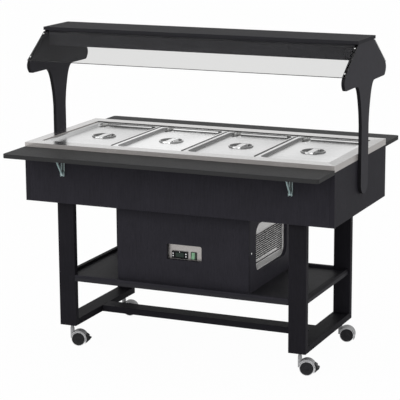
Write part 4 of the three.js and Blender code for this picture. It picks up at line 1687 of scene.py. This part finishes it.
@dataclass
class FoldingBracket:
    """Bracket under a tray slide: a wall channel, a rivet and a folded strut."""

    x: float = 520 * MM
    wall: float = -332.3 * MM
    top: float = 872.4 * MM
    height: float = 100 * MM
    half_width: float = 9 * MM
    sheet: float = 2 * MM
    flange: Pair = (5.8 * MM, 7.5 * MM)
    pivot: Point = (-342 * MM, 781 * MM)
    pin: Pair = (2.2 * MM, 17.4 * MM)
    tip: Point = (-402 * MM, 868.2 * MM)
    hinge: Point = (-346 * MM, 870 * MM)
    hinge_pin: Pair = (2 * MM, 16.4 * MM)
    ear: float = 2.6 * MM
    screws: Pair = (12 * MM, 26 * MM)
    strut_half: float = 2.8 * MM
    strut_round: float = 4.5 * MM
    rivet: Pair = (2.4 * MM, 9.4 * MM)

    def build(self) -> None:
        """Builds one leaf and one strut, and copies them to the four places."""
        leaf, strut = self.leaf(), self.strut()
        for (end, turn), mirror in zip(ENDS.items(), (1, -1)):
            for side, sign in SIDES.items():
                place = (mirror * sign * self.x, 0, 0)
                leaf.copy(f"{end}_leaf_{side}", place).turn(turn, Axis.Z).fit(
                    FIXED, ZINC, "zinc_steel", [f"{end}_bracket_leaf_{side}"]
                )
                strut.copy(f"{end}_strut_{side}_channel", place).turn(turn, Axis.Z).fit(
                    f"{end}_strut_{side}", ZINC, "zinc_steel", [f"{end}_bracket_strut_{side}"]
                )
        Workpiece.discard(leaf, strut)

    def leaf(self) -> Workpiece:
        """Draws the wall channel: back, two flanges with ears and cheeks, rivet and screws.

        Returns:
            The leaf, at the middle of the front.
        """
        half, wall, inside = self.half_width, self.wall, self.wall - self.sheet
        low = self.top - self.height
        pivot_y, pivot_z = self.pivot
        hinge_y, hinge_z = self.hinge
        profile = [
            (inside + 0.5 * MM, low + 2 * MM), (wall - 7 * MM, low + 2 * MM),
            (pivot_y - 5 * MM, pivot_z - 7 * MM), (pivot_y - 5 * MM, pivot_z + 7 * MM),
            (wall - 5 * MM, pivot_z + 17 * MM), (wall - 5 * MM, hinge_z - 12 * MM),
            (hinge_y - self.ear, hinge_z - 5 * MM), *arc(self.hinge, self.ear, 180, 70, 6),
            (inside + 0.5 * MM, hinge_z + 2.2 * MM),
        ]
        back = Workpiece.block("leaf", (-half, inside, low), (half, wall, self.top)).soften()
        parts = []
        for side in (-1, 1):
            span = sorted(side * edge for edge in self.flange)
            flange = Workpiece.outline("flange", profile, Axis.X, *span)
            parts.append(flange.soften(0.35 * MM, 1, 60))
        for z in (low + self.screws[0], self.top - self.screws[1]):
            parts.append(Screw(4 * MM, 1.6 * MM).draw((0, inside, z), 90))
        for place, size in ((self.pivot, self.pin), (self.hinge, self.hinge_pin)):
            parts.append(Workpiece.disc("pin", (0, *place), *size, Axis.X, 20).soften())
        # Painted shade: the whole back of the channel is darkened.
        back.mark("painted_shade", lambda centre, normal: 1)
        return back.join(*parts)

    def strut(self) -> Workpiece:
        """Draws the folded strut, with round ends and a groove along its outer face.

        Returns:
            The strut, at the middle of the front.
        """
        out, rise = self.tip[0] - self.pivot[0], self.tip[1] - self.pivot[1]
        reach, half = math.hypot(out, rise), self.strut_round
        points = [*arc((0, 0), half, 180, 360, 12), *arc((0, reach), half, 0, 180, 12)]
        strut = Workpiece.outline("strut", points, Axis.X, -self.strut_half, self.strut_half)
        groove = Workpiece.block(
            "groove", (-1.7 * MM, -8 * MM, 9 * MM), (1.7 * MM, -2.2 * MM, reach - 7 * MM)
        )
        eye = Workpiece.disc("eye", (0, 0, 0), 2.5 * MM, 18 * MM, Axis.X, 20)
        strut.cut(groove, eye).soften(0.4 * MM, 1, 60)
        rivet = Workpiece.disc("rivet", (0, 0, reach), *self.rivet, Axis.X, 20).soften(0.8 * MM)
        lean = math.degrees(math.atan2(-out, rise))
        return strut.join(rivet).turn(lean, Axis.X).move((0, *self.pivot))


@dataclass
class Screw:
    """A small domed screw head with a cross recess."""

    radius: float = 4 * MM
    height: float = 2 * MM

    def draw(self, place: Point, lean: float = 0, axis: Axis = Axis.X) -> Workpiece:
        """Draws the head standing on a point.

        Args:
            place: The point that it stands on.
            lean: How far it is turned from upright, in degrees.
            axis: The axis that it is turned about.

        Returns:
            The head.
        """
        radius, height = self.radius, self.height
        middle = 0.0001 * MM
        profile = [
            (middle, 0), (radius, 0), (radius, height * 0.25), (radius * 0.82, height * 0.75),
            (radius * 0.45, height), (middle, height),
        ]
        head = Workpiece.turned("screw", profile, (0, 0, 0), Axis.Z, 20)
        arm, slot = radius * 0.55, radius * 0.14
        points = cross(arm, arm, slot, slot)
        head.cut(Workpiece.outline("slot", points, Axis.Z, height * 0.5, height * 2))
        return head.turn(lean, axis).move(place)


@dataclass
class Canopy:
    """Canopy: two supports, top board, fascias and clear screens with their screws."""

    inner: float = 705.3 * MM
    outer: float = 719.3 * MM
    stem_bottom: float = 733 * MM
    stem_half: float = 46 * MM
    head_bottom: float = 1196.7 * MM
    head_top: float = 1367.7 * MM
    head_top_half: float = 100.5 * MM
    screen: float = 4 * MM
    seat: float = 0.3 * MM
    screen_start: float = 14 * MM
    screen_tail: float = 9.5 * MM
    screw_x: float = 712.3 * MM
    screws: Pair = (30 * MM, 12 * MM)
    lobe_top: Point = (256 * MM, 1256.7 * MM)

    def build(self) -> None:
        """Builds the canopy."""
        support = Workpiece.outline("support", self.shape(), Axis.X, self.inner, self.outer)
        support.soften(0.9 * MM, 2, 45).band(Axis.X)
        for side, offset in (("left", -self.inner - self.outer), ("right", 0)):
            support.copy(f"support_{side}", (offset, 0, 0)).fit(
                FIXED, SUPPORT, "canopy_board", [f"canopy_support_{side}"]
            )
        Workpiece.discard(support)
        lay_board("canopy_top", CANOPY_TOP_PAINTED_SHADE, "canopy_board")
        for end in ENDS:
            lay_board(f"canopy_fascia_{end}", FASCIA_PAINTED_LIGHT, "canopy_board")
        self.screens()

    def shape(self) -> list[Point]:
        """Lists the support's outline: stem, flare and lobed head.

        Returns:
            The points, front and rear alike.
        """
        base = self.head_bottom
        half = [(0.0, self.stem_bottom)]
        half += arc((0, self.stem_bottom + self.stem_half), self.stem_half, -90, 0, 16)[1:]
        bends = [
            ((46, -182), None), ((46, -160), (54, -112)), ((60, -86), (67, -62)),
            ((77, -30), (88, -16)), ((99, 0), (120, 0)), ((200, 0), None),
            ((236, 0), None), ((254, 0), (257, 6)), ((270, 19), (270, 33)), ((270, 47), (256, 60)),
        ]
        for pull, end in bends:
            pull_point = (pull[0] * MM, base + pull[1] * MM)
            if end is None:
                half.append(pull_point)
            else:
                half += bend(half[-1], pull_point, (end[0] * MM, base + end[1] * MM))
        half.append((self.head_top_half, self.head_top))
        return half + [(-y, z) for y, z in reversed(half[1:])]

    def screens(self) -> None:
        """Builds both clear screens on the slanted edges of the heads, with their screws."""
        run = self.lobe_top[0] - self.head_top_half
        fall = self.head_top - self.lobe_top[1]
        slope = math.hypot(run, fall)
        down, out = Vector((run, -fall)) / slope, Vector((fall, run)) / slope
        origin = Vector((self.head_top_half, self.head_top))
        start, end = self.screen_start, slope + self.screen_tail
        low, high = self.seat, self.seat + self.screen
        corners = [
            origin + down * reach + out * lift
            for reach, lift in ((start, low), (end, low), (end, high), (start, high))
        ]
        normal = Vector((0, *out))
        pane = Workpiece.outline("pane", corners, Axis.X, -self.outer, self.outer)
        pane.soften(0.4 * MM, 1, 60).mark(
            "edge_band", lambda centre, facing: abs(facing.dot(normal)) < 0.9
        )
        lean = math.degrees(math.atan2(fall, run))
        heads = []
        for x in (-self.screw_x, self.screw_x):
            for reach in (self.screws[0], slope - self.screws[1]):
                spot = origin + down * reach + out * high
                heads.append(Screw(3.2 * MM, 1.6 * MM).draw((x, *spot), -lean))
        screws = heads[0].join(*heads[1:])
        for end, turn in (("rear", 0), ("front", 180)):
            pane.copy(f"screen_{end}_pane").turn(turn, Axis.Z).fit(
                FIXED, CLEAR, "clear_screen", [f"screen_{end}"], smooth=5
            )
            screws.copy(f"screen_{end}_screws").turn(turn, Axis.Z).fit(
                FIXED, SCREW_STEEL, "zinc_steel"
            )
        Workpiece.discard(pane, screws)


@dataclass
class LowerShelf:
    """Lower shelf: a sunk panel notched round the legs, inside a low rim."""

    bottom: float = 302 * MM
    top: float = 317 * MM
    rim_top: float = 329.4 * MM
    outer_x: float = 562 * MM
    between_x: float = 495.7 * MM
    outer_y: float = 294 * MM
    between_y: float = 265.7 * MM
    rim: float = 18 * MM

    def build(self) -> None:
        """Builds the panel and the four rim boards."""
        x, y, in_x, in_y = self.outer_x, self.outer_y, self.between_x, self.between_y
        points = cross(x, y, in_x, in_y)
        panel = Workpiece.outline("shelf_panel", points, Axis.Z, self.bottom, self.top)
        panel.soften().band(Axis.Z).fit(FIXED, SHELF, "frame_board", ["lower_shelf"])
        rims = {
            "front": ((-in_x, -y), (in_x, self.rim - y), SHELF_RIM, Axis.Y),
            "rear": ((-in_x, y - self.rim), (in_x, y), SHELF_RIM, Axis.Y),
            "left": ((-x, -in_y), (self.rim - x, in_y), LEG_DEEP_PAINTED_SHADE, Axis.X),
            "right": ((x - self.rim, -in_y), (x, in_y), LEG_DEEP_PAINTED_SHADE, Axis.X),
        }
        for side, (low, high, finish, thin) in rims.items():
            rim = Workpiece.block(
                f"shelf_rim_{side}", (*low, self.top - 0.2 * MM), (*high, self.rim_top)
            )
            rim.soften(0.8 * MM).band(thin).fit(FIXED, finish, "frame_board", ["lower_shelf"])


@dataclass
class Housing:
    """Compressor housing: front board with a window, vented side board, louvred plate."""

    window: tuple[float, float, float, float] = (-71 * MM, 435 * MM, 90 * MM, 502 * MM)
    window_corner: float = 8 * MM
    side_screw: Point = (305 * MM, -225 * MM, 487 * MM)
    gland: Point = (-200 * MM, 257 * MM, 360 * MM)
    vent_middle: Point = (5 * MM, 494 * MM)
    vent_half: Point = (180 * MM, 104 * MM)
    vent_radius: float = 45 * MM
    vent_facets: int = 10
    grille_x: Point = (285.2 * MM, 286.7 * MM)
    louvres: int = 14
    louvre_pitch: float = 9.25 * MM
    louvre_length: float = 336 * MM
    louvre_low: float = 422.8 * MM
    slot: Pair = (-4 * MM, 2.6 * MM)
    blade: float = 1 * MM
    plain: float = 415 * MM
    lip: float = 0.6 * MM
    bar: tuple[float, float, float] = (95 * MM, 428 * MM, 440 * MM)
    foot_shade: float = 0.45

    def build(self) -> None:
        """Builds the housing round the condensing unit."""
        self.front()
        self.side()
        self.rear()
        self.grille()
        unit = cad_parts["condensing_unit"]
        unit.data.materials.clear()
        unit.data.materials.append(BLACK_PAINT.material())

    def front(self) -> None:
        """Cuts the window, rounded at its right corners, out of the front board."""
        left, bottom, right, top = self.window
        radius = self.window_corner
        points = [
            (left, bottom), *arc((right - radius, bottom + radius), radius, -90, 0, 6),
            *arc((right - radius, top - radius), radius, 0, 90, 6), (left, top),
        ]
        self.pierced("housing_front", points, Axis.Y, (-300 * MM, -200 * MM), BODY)

    def side(self) -> None:
        """Cuts the vent out of the right board, and adds the board's screw."""
        points = rounded(*self.vent_half, self.vent_radius, self.vent_middle, self.vent_facets)
        # The right board gets the lighter copy of the board, which is painted light.
        self.pierced("housing_right", points, Axis.X, (250 * MM, 350 * MM), BODY_PAINTED_LIGHT)
        screw = Screw(4.5 * MM, 1.5 * MM).draw(self.side_screw, 90, Axis.Y)
        screw.obj.name = "housing_side_screw"
        screw.fit(FIXED, SCREW_STEEL, "zinc_steel")

    def pierced(
        self, node: str, points: Sequence[Point], thin: Axis, reach: Pair, finish: Finish
    ) -> None:
        """Builds a board with an opening.

        Args:
            node: The frame node that it stands for.
            points: The outline of the opening.
            thin: The axis of the board's thickness.
            reach: Where the opening's tool starts and ends on that axis.
            finish: The board's finish.
        """
        tool = Workpiece.outline("opening", points, thin, *reach)
        board = Workpiece.block(f"{node}_board", *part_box(node)).cut(tool)
        board.soften(0.7 * MM, 2, 60).band(thin).fit(FIXED, finish, "body_board", [node])

    def rear(self) -> None:
        """Builds the rear board and the cable gland in it."""
        low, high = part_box("housing_rear")
        board = Workpiece.block("housing_rear_board", low, (high.x, self.gland[1], high.z))
        board.soften(0.8 * MM).band(Axis.Y).fit(FIXED, BODY, "body_board", ["housing_rear"])
        profile = metres([
            (5, 6), (5, 16), (8, 16), (9.2, 14.5), (9.2, 8.5), (11.4, 8), (13, 6.5), (13, 0.2),
            (7, 0.2), (7, 6),
        ])
        gland = Workpiece.turned("cable_gland", profile, self.gland, Axis.Y)
        gland.fit(FIXED, HINGE, "body_board", ["housing_rear"])

    def grille(self) -> None:
        """Presses the louvred plate: lip round the vent, slots, hooded louvres and a bar."""
        inner, outer = self.grille_x
        low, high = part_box("vent_grille")
        plate, foot = (
            Workpiece.block(name, (inner, low.y, bottom), (outer, high.y, top))
            for name, bottom, top in (
                ("louvred_plate", self.plain, high.z), ("plate_foot", low.z, self.plain),
            )
        )
        # Painted shade: the plain foot under the louvres is darkened.
        foot.mark("painted_shade", lambda centre, normal: self.foot_shade)
        start = self.vent_middle[0] - self.louvre_length / 2
        end = self.vent_middle[0] + self.louvre_length / 2
        slots, blades = [], []
        for index in range(self.louvres):
            level = self.louvre_low + index * self.louvre_pitch
            below, above = (level + edge for edge in self.slot)
            slots.append(Workpiece.block(
                "slot", (inner - MM, start, below), (outer + MM, end, above)
            ))
            blades.append(Workpiece.block(
                "blade", (outer - 0.8 * MM, start, above), (outer + 2 * MM, end, above + self.blade)
            ))
        plate.cut(slots[0].join(*slots[1:]))
        half_y, half_z, radius = (
            size - self.lip for size in (*self.vent_half, self.vent_radius)
        )
        shape = rounded(half_y, half_z, radius, self.vent_middle, self.vent_facets)
        lip = Workpiece.outline("lip", shape, Axis.X, outer - 0.5 * MM, outer + 3.4 * MM)
        lip.faces(lambda centre, normal: abs(normal.x) > PARALLEL).remove().thicken(1.2 * MM)
        bar_end, bar_low, bar_high = self.bar
        bar = Workpiece.block(
            "bar", (outer - 0.5 * MM, start, bar_low), (outer + 6 * MM, bar_end, bar_high)
        ).soften(2.4 * MM, 4)
        plate.join(lip, *blades).soften(0.25 * MM, 1, 70).join(foot, bar)
        plate.fit(FIXED, GRILLE_STEEL, "plate_steel", ["vent_grille"])


@dataclass
class Controls:
    """Control plate behind the window: thermostat with its keys, and the rocker switch."""

    face: float = -238.7 * MM
    back: float = -237.2 * MM
    reach: Pair = (-300 * MM, -200 * MM)
    middle_z: float = 454.5 * MM
    thermostat_x: float = -17 * MM
    thermostat_half: Point = (37 * MM, 16 * MM)
    plate_hole: Point = (34 * MM, 13 * MM)
    unit_half: Point = (32 * MM, 11 * MM)
    unit_depth: float = 45 * MM
    bezel: float = 5 * MM
    seat: float = 0.3 * MM
    pocket_half: Point = (4.5 * MM, 12 * MM)
    display_half: Point = (19 * MM, 9.5 * MM)
    lamp_rise: float = 12.6 * MM
    key_offset: float = 30 * MM
    key_half: Point = (4 * MM, 11.5 * MM)
    mark_offset: float = 6 * MM
    mark_half: float = 3.5 * MM
    switch_x: float = 47.5 * MM
    rocker_half: Point = (11.5 * MM, 14.5 * MM)
    rocker_gap: float = 0.6 * MM
    rocker_split: float = 3.5 * MM
    frame_width: float = 2.4 * MM

    def build(self) -> None:
        """Builds the plate and what is set in it."""
        self.plate()
        self.thermostat()
        self.keys()
        self.rocker()

    def plate(self) -> None:
        """Builds the steel plate and the frame of the switch."""
        low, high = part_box("control_plate")
        middle = (self.switch_x, self.middle_z)
        room_x, room_z = (half + self.rocker_gap for half in self.rocker_half)
        plate = Workpiece.block(
            "control_sheet", (low.x, self.face, low.z), (high.x, self.back, high.z)
        )
        hole = Workpiece.slab(
            "hole", (self.thermostat_x, self.middle_z), self.plate_hole, Axis.Y, *self.reach
        )
        rocker_hole = Workpiece.slab("rocker_hole", middle, (room_x, room_z), Axis.Y, *self.reach)
        plate.cut(hole, rocker_hole).soften(0.3 * MM)
        plate.fit(FIXED, PLATE_STEEL, "plate_steel", ["control_plate"])
        wide = rounded(room_x + self.frame_width, room_z + self.frame_width, 2.5 * MM, middle)
        surround = Workpiece.outline(
            "switch_frame", wide, Axis.Y, self.face - 1.8 * MM, self.back + 12 * MM
        )
        room = rounded(room_x, room_z, 1 * MM, middle)
        surround.cut(Workpiece.outline("room", room, Axis.Y, *self.reach)).soften(0.6 * MM, 2, 50)
        surround.fit(FIXED, FRAME_BLACK, "plate_steel", ["control_plate"])

    def thermostat(self) -> None:
        """Builds the case with its display window and key pockets."""
        x, z = middle = (self.thermostat_x, self.middle_z)
        back = self.face - self.seat
        front = back - self.bezel
        case = Workpiece.slab(
            "thermostat_case", middle, self.thermostat_half, Axis.Y, front, back
        )
        case.edges(along(Axis.Y)).bevel(1.6 * MM, 4).done()
        unit = Workpiece.slab(
            "unit", middle, self.unit_half, Axis.Y, back - 0.5 * MM, back + self.unit_depth
        ).soften(1 * MM)
        tools = [
            Workpiece.slab(
                "pocket", (x + side * self.key_offset, z), self.pocket_half, Axis.Y,
                front - MM, front + 3.4 * MM,
            )
            for side in SIDES.values()
        ]
        tools.append(Workpiece.slab(
            "display_room", middle, self.display_half, Axis.Y, front - MM, front + 0.8 * MM
        ))
        case.cut(*tools).soften(angle=50).join(unit)
        case.fit(FIXED, CASE, "thermostat_case", ["thermostat"])
        glass = [half - 0.2 * MM for half in self.display_half]
        display = Workpiece.slab(
            "thermostat_display", middle, glass, Axis.Y, front + 0.2 * MM, front + 1 * MM
        ).soften(0.3 * MM)
        display.fit(FIXED, DISPLAY, "thermostat_case", ["thermostat"])
        lamp = Workpiece.disc(
            "thermostat_lamp", (x, front - 0.1 * MM, z + self.lamp_rise), 1.7 * MM, 0.8 * MM,
            Axis.Y, 16,
        ).soften(0.2 * MM)
        lamp.fit(FIXED, MARK, "thermostat_case", ["thermostat"])

    def keys(self) -> None:
        """Builds the two key bars, each with an up and a down mark."""
        front, size = self.face - self.seat - self.bezel, self.mark_half
        for side, sign in SIDES.items():
            x, node = self.thermostat_x + sign * self.key_offset, [f"thermostat_key_{side}"]
            bar = Workpiece.slab(
                f"key_{side}_bar", (x, self.middle_z), self.key_half, Axis.Y,
                front - 0.6 * MM, front + 2.4 * MM,
            ).soften(0.7 * MM, 3)
            bar.fit(f"key_{side}", KEYS, "key_plastic", node)
            marks = []
            for end in (-1, 1):
                z = self.middle_z + end * self.mark_offset
                foot = z - end * size * 0.8
                mark = Workpiece.outline(
                    "mark", [(x - size, foot), (x + size, foot), (x, z + end * size)], Axis.Y,
                    front - 0.85 * MM, front - 0.3 * MM,
                )
                marks.append(mark.soften(0.15 * MM, 1))
            pair = marks[0].join(marks[1])
            pair.obj.name = f"key_{side}_marks"
            pair.fit(f"key_{side}", MARK, "key_plastic", node)

    def rocker(self) -> None:
        """Dresses a copy of the rocker with rounded edges, and painted shade on its right part."""
        rocker = Workpiece.copy_of_node("rocker_cap", "rocker_switch").soften(0.8 * MM, 3, 12)
        split = self.switch_x + self.rocker_split
        # Painted shade: the part right of the split is darkened.
        rocker.bisect(split, Axis.X).mark("painted_shade", lambda centre, normal: centre.x > split)
        rocker.fit("rocker", GREEN, "switch_green", ["rocker_switch"], smooth=30)


@dataclass
class Casters:
    """Four twin-wheel casters: hood with neck, two wheels, and pedals on the front ones."""

    x: float = 534.5 * MM
    y: float = 255 * MM
    yaw: float = 15
    axle: Point = (30 * MM, 31 * MM)
    half: float = 22 * MM
    inner: float = 33.3 * MM
    outer: float = 36.8 * MM
    web: Pair = (20 * MM, 10 * MM)
    rib_half: float = 5 * MM
    neck_back: float = -8.6 * MM
    bore: float = 4.3 * MM
    axle_bar: Pair = (4 * MM, 15 * MM)
    pedal_gap: float = 0.3 * MM
    pedal_half: float = 17 * MM
    crown_shade: float = 0.6
    neck_shade: float = 0.4

    def build(self) -> None:
        """Builds one caster and copies it to the four legs."""
        parts = (
            (self.hood(), "hood", "caster", HOOD, "caster_grey", "caster_housing"),
            (self.tyres(), "tyres", "wheels", TYRE, "caster_wheel", "caster_wheels"),
            (self.discs(), "discs", "wheels", WHEEL, "caster_wheel", "caster_wheels"),
        )
        pedal = self.pedal()
        for end, y in (("front", -self.y), ("rear", self.y)):
            for side, sign in SIDES.items():
                corner, place = f"{end}_{side}", (sign * self.x, y, 0)
                for piece, name, body, finish, slot, node in parts:
                    self.put(piece, f"{name}_{corner}", place).fit(
                        f"{body}_{corner}", finish, slot, [f"{node}_{corner}"]
                    )
                if end == "front":
                    self.put(pedal, f"pedal_{side}", place).fit(
                        f"brake_{side}", PEDAL, "pedal_plastic", [f"brake_pedal_{side}"]
                    )
        Workpiece.discard(pedal, *(part[0] for part in parts))

    def put(self, piece: Workpiece, name: str, place: Point) -> Workpiece:
        """Copies a piece under a leg, swung the way all four casters are."""
        return piece.copy(name).turn(self.yaw, Axis.Z).move(place)

    def middle(self) -> tuple[float, float, float]:
        """Returns the middle of the axle."""
        return (self.axle[0], 0, self.axle[1])

    def hood(self) -> Workpiece:
        """Draws the hood with its end walls, web, gusset, neck and collar.

        Returns:
            The hood, under the origin.
        """
        axle = self.axle
        shell = Workpiece.outline(
            "hood",
            [*arc(axle, self.outer, -34, 150, 36), *arc(axle, self.inner, 150, -34, 36)],
            Axis.Y, -self.half, self.half,
        ).soften(1.1 * MM, 2, 50)
        crown = self.outer - 0.5 * MM
        # Painted shade: the hood's crown is darkened.
        shell.mark("painted_shade", lambda centre, normal: self.crown_shade * (
            math.hypot(centre.x - axle[0], centre.z - axle[1]) > crown
        ))
        web = Workpiece.disc("web", self.middle(), *self.web, Axis.Y).soften(1 * MM)
        rib = Workpiece.outline("rib", [
            (self.neck_back, axle[1]), axle, *arc(axle, 35 * MM, 60, 128, 10),
            (3 * MM, 79 * MM), (self.neck_back, 79 * MM),
        ], Axis.Y, -self.rib_half, self.rib_half).soften(1.2 * MM, 2, 50)
        profile = metres((
            (0.001, 31), (9, 31), (9, 73), (8.4, 79.8), (6.9, 80.6), (6.9, 97.7), (0.001, 97.7),
        ))
        neck = Workpiece.turned("neck", profile, (0, 0, 0), Axis.Z, 32)
        # Painted shade: the whole neck is darkened.
        neck.mark("painted_shade", lambda centre, normal: self.neck_shade)
        bore = Workpiece.disc("bore", self.middle(), self.bore, 60 * MM, Axis.Y, 24)
        web.cut(bore.copy("bore_2"))
        rib.cut(bore)
        return shell.join(web, rib, neck)

    def wheels(self, name: str, profile: Sequence[Point]) -> list[Workpiece]:
        """Turns both wheels' parts from one profile, in millimetres.

        Args:
            name: The parts' name.
            profile: Points of radius and distance from the caster's middle.

        Returns:
            The two parts.
        """
        return [
            Workpiece.turned(name, metres(profile, side), self.middle(), Axis.Y)
            for side in SIDES.values()
        ]

    def tyres(self) -> Workpiece:
        """Draws the grey tread of both wheels.

        Returns:
            The treads, as one piece.
        """
        first, second = self.wheels("tread", (
            (28.6, 21.3), (30, 21.3), (31, 20.2), (31, 7.8), (30, 6.7), (28.6, 6.7),
        ))
        return first.join(second)

    def discs(self) -> Workpiece:
        """Draws the dark wheel discs, with raised rim, shallow dish and hub cap, and the axle.

        Returns:
            The discs and the axle, as one piece.
        """
        first, second = self.wheels("disc", (
            (0.001, 7.4), (28.7, 7.4), (28.7, 21.2), (27.6, 22), (26, 21.6), (24.6, 20.7),
            (11, 20.2), (10, 20.9), (8.6, 21.3), (0.001, 21.5),
        ))
        axle = Workpiece.disc("axle", self.middle(), *self.axle_bar, Axis.Y, 24)
        return first.join(second, axle.soften(0.3 * MM))

    def pedal(self) -> Workpiece:
        """Draws the brake pedal: a wedge with a notch under its crown.

        Returns:
            The pedal.
        """
        near, outer = self.outer + self.pedal_gap, self.outer
        spots = (
            (near, -26), (near + 2.5 * MM, -26), (near + 6 * MM, -14), (outer + 15.4 * MM, -1),
            (outer + 16 * MM, 1.5), (outer + 11.5 * MM, 5), (outer + 6.5 * MM, 8),
            (outer + 9 * MM, 14), (outer + 7.5 * MM, 18), (near + 3 * MM, 30),
        )
        points = [polar(self.axle, radius, math.radians(angle)) for radius, angle in spots]
        points += arc(self.axle, near, 30, -26, 10)[:-1]
        pedal = Workpiece.outline("pedal", points, Axis.Y, -self.pedal_half, self.pedal_half)
        return pedal.soften(0.8 * MM, 2, 25)


def main() -> None:
    """Builds the trolley's sub-assemblies in order."""
    logging.basicConfig(level=logging.INFO, format="%(name)s: %(message)s")
    assemblies = (
        Studio(), Boards(), Worktop(), PanSet(), TraySlide(), FoldingBracket(), Canopy(),
        LowerShelf(), Housing(), Controls(), Casters(),
    )
    for assembly in assemblies:
        LOG.info("building %s", type(assembly).__name__)
        assembly.build()


if __name__ == "__main__":
    main()
